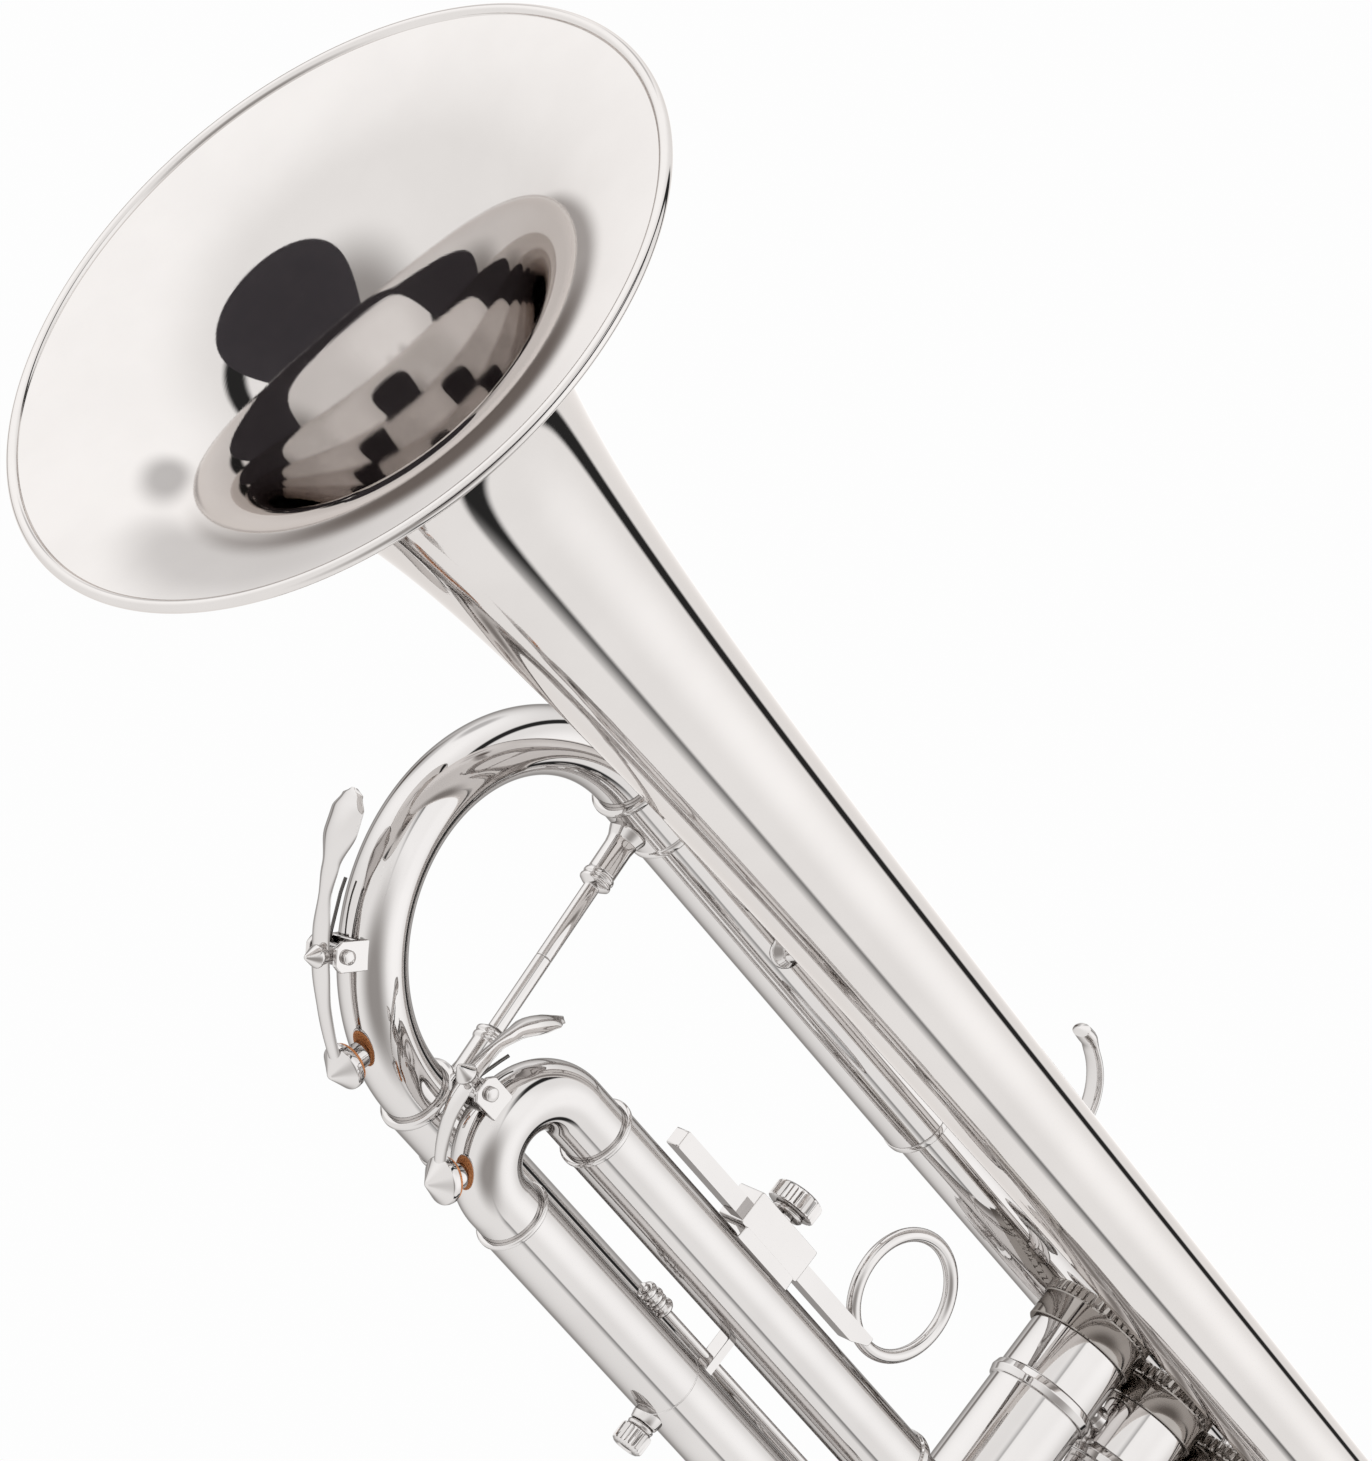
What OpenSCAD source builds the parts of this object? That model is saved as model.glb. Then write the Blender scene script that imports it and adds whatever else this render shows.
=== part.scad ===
// Trumpet in B flat with three piston valves, four slides and two water keys.
// The bell points to -X, the player sits at +X, the leadpipe is on +Y and the
// finger buttons are on +Z. The origin is the centre of the bell rim.

/* [Bell] */
// Radius of the bell where the sheet meets the rim wire
bell_rim_r = 61.5; // [60:0.5:63]
// Radius of the wire rolled into the rim
rim_wire_r = 1.1; // [0.8:0.1:1.4]
// Thickness of the bell sheet
bell_wall = 0.7; // [0.5:0.1:1]
// Length from the rim to the joint with the bell bow
bell_len = 378; // [374:1:384]
// How quickly the flare narrows
flare_power = 0.413; // [0.41:0.001:0.416]

/* [Main slide] */
// Distance of the leadpipe from the bell axis, sideways
lead_y = 37.3; // [36.8:0.1:38.5]
// Height of the leadpipe relative to the bell axis
lead_z = -2.2; // [-3:0.1:-1.5]
// Sideways place of the lower leg
low_y = 30.5; // [30:0.1:31.5]
// Height of the lower leg
low_z = -69; // [-70:0.5:-68]
// Where the bow meets its two ferrules
bow_x = 137.5; // [134:0.5:140]
// Outer radius of the fixed slide tubes
outer_r = 6.75; // [6.7:0.05:6.85]

/* [Valves] */
// Distance of the third valve from the bell rim
valve3_x = 287.5; // [286:0.5:289]
// Distance between neighbouring valves
valve_pitch = 23.8; // [23.6:0.1:24.2]
// Sideways place of the valves
valve_y = 19.8; // [19.8:0.1:20.2]
// How far a piston travels
valve_travel = 14; // [11:0.5:14]
// Radius of a piston
piston_r = 8.7; // [8.6:0.05:8.75]

/* [Third slide] */
// Sideways place of the third slide
third_y = 8; // [7.5:0.1:8.3]
// Height of its upper leg
third_up_z = -56.8; // [-57:0.1:-56.5]
// Height of its lower leg
third_low_z = -77.2; // [-77.5:0.1:-77]
// Outer radius of its sliding tubes
third_r = 6.6; // [6.5:0.05:6.7]

/* [Finger hardware] */
// Outer radius of the finger ring
ring_r = 12.4; // [12:0.1:12.8]
// Side of the square rail that carries the ring
rail_w = 3.4; // [3.2:0.1:3.5]

/* [Hidden] */
$fn = 48;
gap = 0.05;                      // running clearance on each side
tiny = 0.01;                     // clearance between fixed neighbours
flare_a = 3.233;                 // offset of the flare curve
stem_taper = 0.0025;             // extra narrowing of the stem
stem_from = 180;                 // where that narrowing starts
bore_r = 5.85;                   // radius of the bore through the slides
valve1_x = valve3_x + 2 * valve_pitch;
valve2_x = valve3_x + valve_pitch;
valve_x = [valve1_x, valve2_x, valve3_x];
casing_r = 9.8;
casing_in_r = piston_r + gap;
casing_low_z = -92;
casing_top_z = -7;
thread_len = 6;
thread_r = 9.5;
piston_low_z = -72;
piston_top_z = -35;
barrel_top_z = -10;
guide_z = -32;
guide_h = 3;
tail_y = 8.5;
tail_z = -67;
tail_r = 7.2;
elbow_r = 9;                     // bend of a tube where it turns into a casing
tilt = atan2(lead_y - low_y, lead_z - low_z);
leg_gap = norm([lead_y - low_y, lead_z - low_z]);
bow_r = leg_gap / 2;
bow_tube_r = 6.05;
ferrule_r = 6.95;
ferrule_end = bow_x + 13.3;
main_inner_end = 230;
lead_x = 238;
third_bow_x = 147.5;
third_bow_r = (third_up_z - third_low_z) / 2;
third_mid_z = (third_up_z + third_low_z) / 2;
third_tube_end = 258;
third_in_r = third_r - 0.45;
cross_ports = [-48, -40];        // heights of the passages between casings
first_y = 21.5;
first_z = [-36, -59];
second_z = [-38, -60];
side_r = 6.5;                    // outer tubes of the first and second slides
side_in_r = 6.05;
first_joint = 372;
second_joint = 41;
pin_r = 0.9;
key_half = 3;                    // half width between the cheeks of a water key
rail_z = third_up_z + 8.7;
rail_y = third_y - rail_w / 2;
holder_x = 191;
holder_len = 18.5;
brace_x = 207.8;
lyre_x = 204;
rod_z = third_low_z + 8.9;
rod_y = third_y + 1.5;

// radius of the bell sheet at distance x from the rim
function bell_r(x) = bell_rim_r * pow(flare_a / (x + flare_a), flare_power)
  - stem_taper * max(0, x - stem_from);

// lays a shape drawn around Z along +X instead
module along_x(x, y, z) translate([x, y, z]) rotate([0, 90, 0]) children();

// lays a shape drawn around Z along +Y instead
module along_y(x, y, z) translate([x, y, z]) rotate([-90, 0, 0]) children();

module pipe(ro, ri, h) difference() {
  cylinder(r = ro, h = h);
  translate([0, 0, -1]) cylinder(r = ri, h = h + 2);
}

module x_pipe(x0, x1, y, z, ro, ri) along_x(x0, y, z) pipe(ro, ri, x1 - x0);

// part of a bent tube: bend is the radius of its centre line
module bend(bend_r, ro, ri, turn) rotate_extrude(angle = turn) translate([bend_r, 0])
  difference() {
    circle(r = ro);
    circle(r = ri);
  }

// full solid ring, used to trim parts that sit on a bow
module ring_core(bend_r, r) rotate([90, 0, 0]) rotate_extrude() translate([bend_r, 0]) circle(r = r);

// half turn whose two ends look along +X, standing in the XZ plane
module u_bend(bend_r, ro, ri) rotate([90, 0, 0]) rotate([0, 0, 90]) bend(bend_r, ro, ri, 180);

// round wire swept along a path that never runs along Y
module swept_wire(path, wire) {
  last = len(path) - 1;
  sides = 6;
  points = [for (i = [0 : last])
    let (run = path[min(i + 1, last)] - path[max(i - 1, 0)],
      u = cross(run, [0, 1, 0]) / norm(cross(run, [0, 1, 0])),
      v = cross(run, u) / norm(cross(run, u)))
    for (k = [0 : sides - 1]) path[i] + wire * (cos(360 * k / sides) * u + sin(360 * k / sides) * v)];
  walls = [for (i = [0 : last - 1], k = [0 : sides - 1])
    let (n = (k + 1) % sides) [i * sides + n, (i + 1) * sides + n, (i + 1) * sides + k, i * sides + k]];
  ends = [[for (k = [sides - 1 : -1 : 0]) k], [for (k = [0 : sides - 1]) last * sides + k]];
  polyhedron(points, concat(walls, ends));
}

// centre line of a coil around Y, from angle a0 and turns times round
function coil_path(r, y0, y1, a0, turns) = let (rows = turns * 14)
  [for (i = [0 : rows]) [r * cos(a0 + 360 * turns * i / rows), y0 + (y1 - y0) * i / rows,
    r * sin(a0 + 360 * turns * i / rows)]];

// straight-sided knurled disc
module knurl(r, h, teeth) linear_extrude(h)
  polygon([for (i = [0 : 2 * teeth - 1])
    (i % 2 == 0 ? r : r * 0.93) * [cos(180 * i / teeth), sin(180 * i / teeth)]]);

module at_valve(i) translate([valve_x[i], valve_y, 0]) children();

// solid used to trim tubes where they meet the three casings
module casing_cores() for (i = [0 : 2]) at_valve(i)
  translate([0, 0, casing_low_z]) cylinder(r = casing_r + tiny, h = casing_top_z - casing_low_z);

// frame of the main slide: the origin is midway between its legs at the bow joint
module main_frame() translate([bow_x, (lead_y + low_y) / 2, (lead_z + low_z) / 2])
  rotate([-tilt, 0, 0]) children();

/* bell */
// slope of the bell curve, and a point of the inner face of its sheet
function bell_slope(x) = (bell_r(x + 0.01) - bell_r(x)) / 0.01;
function bell_inner(x) = let (m = bell_slope(x), k = bell_wall / sqrt(1 + m * m))
  [bell_r(x) - k, x + k * m];

module bell() {
  steps = 40;
  xs = [for (i = [0 : steps]) bell_len * pow(i / steps, 2.4)];
  color("silver") rotate([0, 90, 0]) rotate_extrude($fn = 96) union() {
    polygon(concat([for (x = xs) [bell_r(x), x]],
      [[bell_inner(bell_len)[0], bell_len]], [for (i = [steps - 1 : -1 : 0]) bell_inner(xs[i])]));
    polygon([for (a = [0 : 20 : 340]) [bell_rim_r - 0.6 + rim_wire_r * cos(a),
      rim_wire_r * sin(a) - 0.35]]);
  }
}

module bell_bow() {
  half = norm([tail_y, tail_z]) / 2;
  color("silver") translate([bell_len + tiny, tail_y / 2, tail_z / 2])
    rotate([atan2(tail_y, -tail_z), 0, 0]) mirror([1, 0, 0]) u_bend(half, tail_r, tail_r - 0.6);
}

module bell_ferrules() color("silver") {
  lip = bell_r(bell_len - 5) + 5 * tiny;
  along_x(bell_len - 5, 0, 0) rotate_extrude()
    polygon([[lip, 0], [lip + 0.8, 0.5], [lip + 0.8, 4.6], [lip + 0.4, 5], [lip, 5]]);
  along_x(bell_len - 9, tail_y, tail_z) pipe(tail_r + 0.7, tail_r + tiny, 8.9);
}

module bell_tail() color("silver") difference() {
  union() {
    x_pipe(valve1_x + elbow_r - 0.5, bell_len, tail_y, tail_z, tail_r, tail_r - 0.6);
    translate([valve1_x + elbow_r - 0.5, tail_y + elbow_r, tail_z]) rotate([0, 0, 180])
      bend(elbow_r, tail_r, tail_r - 0.6, 90);
  }
  casing_cores();
}

/* leadpipe side */
module leadpipe() color("silver") {
  lead_end = 452;
  along_x(lead_x - 4, lead_y, lead_z) difference() {
    union() {
      cylinder(r1 = 5.95, r2 = 5.2, h = lead_end - lead_x + 4);
      cylinder(r = outer_r - 0.5 - tiny, h = 4);
      translate([0, 0, 4 + tiny]) cylinder(r = outer_r + 0.15, h = 1.4);
    }
    translate([0, 0, -1]) cylinder(r1 = 5.4, r2 = 4.6, h = lead_end - lead_x + 6);
  }
}

module receiver() color("silver") along_x(452 - 16, lead_y, lead_z) difference() {
  union() {
    cylinder(r = 6.1, h = 46);
    translate([0, 0, 42]) cylinder(r = 7.4, h = 5);
    translate([0, 0, 0]) cylinder(r = 6.6, h = 3);
  }
  translate([0, 0, -1]) cylinder(r = 5.32, h = 17 + tiny);
  translate([0, 0, 15]) cylinder(r = 4.4, h = 40);
  translate([0, 0, 22]) cylinder(r = 5, h = 26);
}

module main_outer_upper() color("silver")
  x_pipe(ferrule_end + 0.2, lead_x, lead_y, lead_z, outer_r, outer_r - 0.5);

module main_outer_lower() color("silver") difference() {
  union() {
    x_pipe(ferrule_end + 0.2, valve3_x - elbow_r - 0.5, low_y, low_z, outer_r, outer_r - 0.5);
    translate([valve3_x - elbow_r - 0.5, low_y - elbow_r, low_z])
      bend(elbow_r, outer_r, outer_r - 0.5, 90);
  }
  casing_cores();
}

/* main tuning slide */
module main_inner_tubes() color("gainsboro") main_frame() for (side = [-1, 1])
  along_x(3.5, 0, side * leg_gap / 2)
    pipe(outer_r - 0.5 - gap, bore_r, main_inner_end - bow_x - 3.5);

module main_bow() color("silver") main_frame() {
  u_bend(bow_r, bow_tube_r, bow_tube_r - 0.5);
  for (side = [-1, 1]) along_x(0, 0, side * leg_gap / 2)
    pipe(bow_tube_r, bow_tube_r - 0.5, 3.5 - tiny);
}

module main_ferrules() color("silver") main_frame() for (side = [-1, 1])
  along_x(0, 0, side * leg_gap / 2) difference() {
    union() {
      cylinder(r = ferrule_r, h = ferrule_end - bow_x);
      translate([0, 0, 0.3]) cylinder(r = ferrule_r + 0.4, h = 1.1);
      translate([0, 0, ferrule_end - bow_x - 1.2]) cylinder(r = ferrule_r + 0.3, h = 1.1);
    }
    translate([0, 0, -1]) cylinder(r = outer_r - 0.5 - gap + tiny, h = 20);
  }

module main_brace() color("silver") main_frame() difference() {
  translate([7, 0, 0]) for (side = [0, 1]) mirror([0, 0, side]) {
    cylinder(r = 1.4, h = 20);
    translate([0, 0, 16.5]) cylinder(r = 2.1, h = leg_gap / 2 - 18);
    translate([0, 0, 16.5]) cylinder(r = 2.6, h = 1.6);
    translate([0, 0, 23]) cylinder(r1 = 2.1, r2 = 3.2, h = 6);
  }
  for (side = [-1, 1]) along_x(-5, 0, side * leg_gap / 2) cylinder(r = ferrule_r + tiny, h = 30);
}

/* water keys: t runs along the lever to its spoon and n points away from the bow */
// centre of the circle through three points
function centre3(a, b, c) =
  let (d = 2 * (a[0] * (b[1] - c[1]) + b[0] * (c[1] - a[1]) + c[0] * (a[1] - b[1])))
  [((a * a) * (b[1] - c[1]) + (b * b) * (c[1] - a[1]) + (c * c) * (a[1] - b[1])) / d,
   ((a * a) * (c[0] - b[0]) + (b * b) * (a[0] - c[0]) + (c * c) * (b[0] - a[0])) / d];

// outline of an arched strip through three points
module arch(a, b, c, thick) {
  o = centre3(a, b, c);
  r = norm(a - o);
  a0 = atan2(a[1] - o[1], a[0] - o[0]);
  a1 = atan2(c[1] - o[1], c[0] - o[0]);
  polygon(concat([for (i = [0 : 16]) o + r * [cos(a0 + (a1 - a0) * i / 16),
      sin(a0 + (a1 - a0) * i / 16)]],
    [for (i = [16 : -1 : 0]) o + (r - thick) * [cos(a0 + (a1 - a0) * i / 16),
      sin(a0 + (a1 - a0) * i / 16)]]));
}

// a shape drawn in the t-n plane, made w wide across it
module across(w) rotate([90, 0, 0]) translate([0, 0, -w / 2]) linear_extrude(w) children();

// knob on the pivot, lever, spoon and cup; cup is [t, n, lean] and tip is [t, n]
module key_lever(pin_n, cup, tip) color("silver") difference() {
  union() {
    across(3.6) arch([cup[0], cup[1] + 2.4], [0, pin_n + 3.3], tip, 1.2);
    intersection() {
      across(9) arch([cup[0], cup[1] + 2.4], [0, pin_n + 3.3], tip, 1.2);
      translate([tip[0] * 0.78, 0, 0]) scale([1, 0.72, 1]) cylinder(r = tip[0] * 0.24, h = 60);
    }
    along_y(0, -key_half + gap, pin_n) cylinder(r = 1.9, h = 2 * key_half - 2 * gap - 2.4);
    translate([0, -1.2, pin_n]) cylinder(r = 1.3, h = 4.4);
    translate([cup[0], 0, cup[1]]) rotate([0, cup[2], 0]) cylinder(r = 4.1, h = 2.8);
  }
  translate([cup[0], 0, cup[1]]) rotate([0, cup[2], 0]) translate([0, 0, -3]) cylinder(r = 3.5, h = 4.2);
  along_y(0, -5, pin_n) cylinder(r = pin_r + gap, h = 10);
}

module key_cork(cup) color("peru") translate([cup[0], 0, cup[1]]) rotate([0, cup[2], 0])
  translate([0, 0, -1.1]) cylinder(r = 3.48, h = 2.2);

module key_screw(pin_n) color("silver") along_y(0, -key_half - 1.1, pin_n) {
  cylinder(r = pin_r, h = 2 * key_half + 2.4);
  difference() {
    translate([0, 0, -0.9]) cylinder(r = 1.9, h = 0.9);
    translate([-3, -0.3, -1.2]) cube([6, 0.6, 0.7]);
  }
}

module key_cheeks(pin_n, base_n) for (side = [0, 1]) mirror([0, side, 0]) difference() {
  translate([-2.6, key_half, base_n]) cube([5.2, 1, pin_n + 2.4 - base_n]);
  along_y(0, 0, pin_n) cylinder(r = pin_r + tiny, h = 8);
}

// coil on the pivot beside the lever's tube, with two short legs
module key_spring(pin_n) color("dimgray") translate([0, 0, pin_n])
  swept_wire(concat([[3.35, 0.95, -0.2]], coil_path(1.5, 0.95, 2.6, 60, 2.5), [[-0.06, 2.6, -1.7]]),
    0.28);

// short tube on the bow that the cork closes, drawn from the cup's place
module key_seat(cup) translate([cup[0], 0, cup[1]]) rotate([0, cup[2], 0])
  translate([0, 0, -4.5]) cylinder(r = 2.3, h = 3.35);

// cheeks, base and water-hole tube of a key on a bow of radius r
module key_saddle(pin_n, cup, r) {
  key_cheeks(pin_n, r + 2);
  translate([-2.6, -key_half - 1, r + 3]) cube([5.2, 2 * key_half + 2, 3.5]);
  key_seat(cup);
}

main_pin_n = bow_r + bow_tube_r + 3;
main_cup = [-19.4, bow_r + bow_tube_r - 1.6, -26.6];
main_tip = [28, bow_r + bow_tube_r + 0.6];
main_key_turn = 221;

// places a water key on the outside of the main bow
module main_key_frame() main_frame() rotate([0, -main_key_turn, 0]) rotate([0, 90, 0]) children();

module main_key_saddle() color("silver") difference() {
  main_key_frame() key_saddle(main_pin_n, main_cup, bow_r);
  main_frame() ring_core(bow_r, bow_tube_r + tiny, $fn = 144);
}
module main_key_lever() main_key_frame() key_lever(main_pin_n, main_cup, main_tip);
module main_key_cork() main_key_frame() key_cork(main_cup);
module main_key_screw() main_key_frame() key_screw(main_pin_n);
module main_key_spring() main_key_frame() key_spring(main_pin_n);

third_pin_n = third_bow_r + bow_tube_r + 2.6;
third_cup = [-14.6, 11.9, -49];
third_tip = [19.5, 13.5];

module third_key_frame() translate([third_bow_x, third_y, third_mid_z])
  rotate([0, -90, 0]) children();

module third_key_saddle() color("silver") difference() {
  third_key_frame() key_saddle(third_pin_n, third_cup, third_bow_r);
  translate([third_bow_x, third_y, third_mid_z])
    ring_core(third_bow_r, bow_tube_r + tiny, $fn = 144);
}
module third_key_lever() third_key_frame() key_lever(third_pin_n, third_cup, third_tip);
module third_key_cork() third_key_frame() key_cork(third_cup);
module third_key_screw() third_key_frame() key_screw(third_pin_n);
module third_key_spring() third_key_frame() key_spring(third_pin_n);

/* valves */
module port(z, r, turn) translate([0, 0, z]) rotate([0, 0, turn]) rotate([0, 90, 0])
  cylinder(r = r, h = 14);

// ports is a list of [height, radius, direction]
module casing(i, ports) color("silver") at_valve(i) difference() {
  union() {
    translate([0, 0, casing_low_z]) cylinder(r = thread_r, h = casing_top_z - casing_low_z);
    translate([0, 0, casing_low_z + thread_len])
      cylinder(r = casing_r, h = casing_top_z - casing_low_z - 2 * thread_len);
    translate([0, 0, -25.8]) cylinder(r = casing_r + 0.8, h = 2.4);
  }
  translate([0, 0, casing_low_z - 1])
    cylinder(r = casing_in_r, h = casing_top_z - casing_low_z + 2);
  translate([-1.45, -9.15, guide_z - tiny]) cube([2.9, 18.3, casing_top_z - guide_z + 1]);
  for (p = ports) port(p[0], p[1], p[2]);
}

module casing_1() casing(0, [[cross_ports[1], 5.6, 180], [first_z[0], 5.6, 0],
  [first_z[1], 5.6, 0], [tail_z, 6, 270]]);
module casing_2() casing(1, [[cross_ports[0], 5.6, 180], [cross_ports[1], 5.6, 0],
  [second_z[0], 5.6, 90], [second_z[1], 5.6, 90]]);
module casing_3() casing(2, [[cross_ports[0], 5.6, 0], [third_up_z, 5.6, 270],
  [third_low_z, 5.6, 270], [low_z, bore_r, 90]]);

module knuckles() color("silver") difference() {
  union() {
    x_pipe(valve3_x + 4, valve2_x - 4, valve_y, cross_ports[0], 6.1, 5.6);
    x_pipe(valve2_x + 4, valve1_x - 4, valve_y, cross_ports[1], 6.1, 5.6);
    for (x = [valve3_x, valve2_x], z = [casing_low_z + 14, -19])
      along_x(x + 4, valve_y, z) cylinder(r = 2, h = valve_pitch - 8);
  }
  casing_cores();
}

module top_caps() color("silver") for (i = [0 : 2]) at_valve(i) difference() {
  union() {
    translate([0, 0, casing_top_z - thread_len + tiny]) cylinder(r = 10.7, h = thread_len + 1.4);
    translate([0, 0, casing_top_z - 0.6]) knurl(11.1, 2.2, 40);
    translate([0, 0, casing_top_z + 1.4]) cylinder(r1 = 10.4, r2 = 5, h = 1.4);
  }
  translate([0, 0, casing_top_z - thread_len - 1]) cylinder(r = thread_r + tiny, h = thread_len + 1 + tiny);
  translate([0, 0, casing_top_z - 1]) cylinder(r = 3.1, h = 10);
}

module bottom_caps() color("silver") for (i = [0 : 2]) at_valve(i) mirror([0, 0, 1])
  translate([0, 0, -casing_low_z]) difference() {
    union() {
      translate([0, 0, tiny - thread_len]) cylinder(r = 10.7, h = thread_len + 1.4);
      translate([0, 0, 0.2]) knurl(11.1, 2.2, 40);
      translate([0, 0, 2.4]) cylinder(r1 = 10.4, r2 = 3.6, h = 2.6);
      translate([0, 0, 4.9]) cylinder(r = 2.6, h = 1.6);
    }
    translate([0, 0, -thread_len - 1]) cylinder(r = thread_r + tiny, h = thread_len + 1 + tiny);
    translate([0, 0, -1]) cylinder(r = 7.5, h = 2.4);
    cylinder(r = 1.2, h = 20);
  }

module cap_felts() color("whitesmoke") for (i = [0 : 2]) at_valve(i)
  translate([0, 0, barrel_top_z + 1.6]) pipe(7.6, 3.6, casing_top_z - barrel_top_z - 1.7);

module valve_guides() color("white") for (i = [0 : 2]) at_valve(i)
  translate([0, 0, guide_z]) difference() {
    union() {
      cylinder(r = 6.8, h = guide_h);
      translate([-1.3, -9.1, 0]) cube([2.6, 18.2, guide_h]);
    }
    translate([0, 0, -1]) cylinder(r = 3, h = 6);
  }

// ports is a list of [height, rise, direction] for the passages
module piston(i, ports) color("gainsboro") at_valve(i) difference() {
  union() {
    translate([0, 0, piston_low_z]) cylinder(r = piston_r, h = piston_top_z - piston_low_z);
    translate([0, 0, piston_top_z]) cylinder(r = 8.3, h = barrel_top_z + 1.5 - piston_top_z);
  }
  translate([0, 0, piston_top_z + 1.5]) cylinder(r = 7.1, h = barrel_top_z - piston_top_z - 1.5);
  translate([0, 0, barrel_top_z - 1]) cylinder(r = 2.02, h = 4);
  translate([-1.5, -12, guide_z - 1.2]) cube([3, 24, valve_travel + guide_h + 3]);
  translate([0, 0, piston_low_z - 1]) cylinder(r = 7.4, h = 6);
  for (p = ports) translate([0, 0, p[0]]) rotate([0, 0, p[2]]) rotate([0, 90 - p[1], 0])
    translate([0, 0, -14]) cylinder(r = 4.6, h = 28);
}

module piston_1() piston(0, [[-43, 8, 0], [-59, -12, 90]]);
module piston_2() piston(1, [[-43, 8, 0], [-59, 10, 90]]);
module piston_3() piston(2, [[-46, 0, 0], [-60, -12, 90]]);

module spring(i) color("dimgray") at_valve(i) rotate([90, 0, 0])
  swept_wire(coil_path(5.6, guide_z + guide_h + 0.7, barrel_top_z - 0.7, 0, 5), 0.5);
module spring_1() spring(0);
module spring_2() spring(1);
module spring_3() spring(2);

// stem, finger button and its inlay, all screwed to the piston
module stem(i) at_valve(i) translate([0, 0, barrel_top_z - 0.8]) {
  rise = valve_travel + 6.8;
  color("silver") cylinder(r = 2, h = rise);
  color("silver") translate([0, 0, 2.4]) cylinder(r = 2.9, h = rise - 2);
  color("silver") translate([0, 0, rise]) cylinder(r1 = 5.5, r2 = 7.8, h = 1.4);
  color("silver") translate([0, 0, rise + 1.4]) pipe(7.8, 6.6, 1.4);
  color("ivory") translate([0, 0, rise + 1.4]) cylinder(r = 6.6, h = 1.1);
}
module stem_1() stem(0);
module stem_2() stem(1);
module stem_3() stem(2);

/* third slide */
module third_bow() color("silver") translate([third_bow_x, third_y, third_mid_z]) {
  u_bend(third_bow_r, bow_tube_r, bow_tube_r - 0.5);
  along_x(0, 0, third_bow_r) pipe(bow_tube_r, bow_tube_r - 0.5, 9);
  along_x(0, 0, -third_bow_r) pipe(bow_tube_r, bow_tube_r - 0.5, 9);
}

// outer leg that slides: a bead at each end, and a seam groove where seam is given
module third_leg(x0, z, seam) difference() {
  union() {
    x_pipe(x0, third_tube_end, third_y, z, third_r, third_in_r);
    x_pipe(x0, x0 + 1, third_y, z, third_r + 0.4, third_in_r);
    x_pipe(third_tube_end - 2.2, third_tube_end, third_y, z, third_r + 0.6, third_in_r);
  }
  if (seam > 0) x_pipe(seam, seam + 0.35, third_y, z, third_r + 1, third_r - 0.15);
}

module third_outer_tubes() color("silver") {
  third_leg(third_bow_x + 7.5, third_up_z, 0);
  third_leg(third_bow_x + 4, third_low_z, 202);
}

module third_inner_tubes() color("gainsboro") difference() {
  for (z = [third_up_z, third_low_z]) {
    x_pipe(third_bow_x + 16, valve3_x - elbow_r - 0.5, third_y, z, third_in_r - gap, 5.6);
    translate([valve3_x - elbow_r - 0.5, third_y + elbow_r, z]) rotate([0, 0, -90])
      bend(elbow_r, third_in_r - gap, 5.6, 90);
  }
  casing_cores();
}

// flat bar between the sliding legs, with an eye for the stop rod
module third_brace() color("silver") difference() {
  translate([brace_x, third_y - 0.1, third_low_z + 4]) cube([1.9, 3.2, 12.5]);
  for (z = [third_up_z, third_low_z]) along_x(brace_x - 5, third_y, z)
    cylinder(r = third_r + tiny, h = 20);
  along_x(brace_x - 5, rod_y, rod_z) cylinder(r = 0.95, h = 20);
}

module third_stop_rod() color("silver") difference() {
  union() {
    along_x(186, rod_y, rod_z) cylinder(r = 0.9, h = 92);
    translate([272, third_y - 1.2, third_low_z + 4]) cube([3, 3.6, 12.5]);
  }
  for (z = [third_up_z, third_low_z]) along_x(265, third_y, z)
    cylinder(r = third_in_r - gap + tiny, h = 20);
}

module third_stop_nuts() color("silver") for (x = [187, 190.2]) along_x(x, rod_y, rod_z)
  difference() {
    union() {
      cylinder(r = 1.7, h = 2.9);
      translate([0, 0, 2]) cylinder(r = 2, h = 0.9);
    }
    translate([0, 0, -1]) cylinder(r = 0.9 + tiny, h = 6);
  }

// saddle on the upper leg, with a square box that the rail slides through
module rail_holder() color("whitesmoke") difference() {
  union() {
    translate([holder_x, third_y - 3.2, rail_z - 0.9]) cube([holder_len, 6.4, rail_w + 3.2]);
    translate([holder_x + 1, third_y - 3.8, third_up_z + 3]) cube([holder_len - 2, 7.6, 5]);
  }
  along_x(holder_x - 5, third_y, third_up_z) cylinder(r = third_r + tiny, h = 40);
  translate([holder_x - 5, rail_y - gap, rail_z - gap])
    cube([40, rail_w + 2 * gap, rail_w + 2 * gap]);
  translate([holder_x + 10, third_y, rail_z]) cylinder(r = 1.55, h = 12);
}

module ring_rail() color("whitesmoke") {
  translate([170.5, rail_y, rail_z]) cube([63, rail_w, rail_w]);
  translate([234.3, third_y, rail_z + 0.7 + ring_r]) rotate([90, 0, 0])
    rotate_extrude() translate([ring_r - 1.3, 0]) circle(r = 1.3);
}

module rail_screw() color("silver") translate([holder_x + 10, third_y, rail_z + rail_w + 0.35]) {
  cylinder(r = 1.5, h = 4);
  translate([0, 0, 3]) cylinder(r = 2.9, h = 1.4);
  translate([0, 0, 4.2]) knurl(4.7, 4.2, 28);
}

// both hang below the lower leg
module lyre_frame() translate([lyre_x, third_y, third_low_z]) mirror([0, 0, 1]) children();

module lyre_boss() color("silver") lyre_frame() difference() {
  cylinder(r = 2.6, h = third_r + 1.4);
  cylinder(r = 1.2 + gap, h = 20);
  rotate([0, 90, 0]) translate([0, 0, -10]) cylinder(r = third_r + tiny, h = 20);
}

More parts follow.
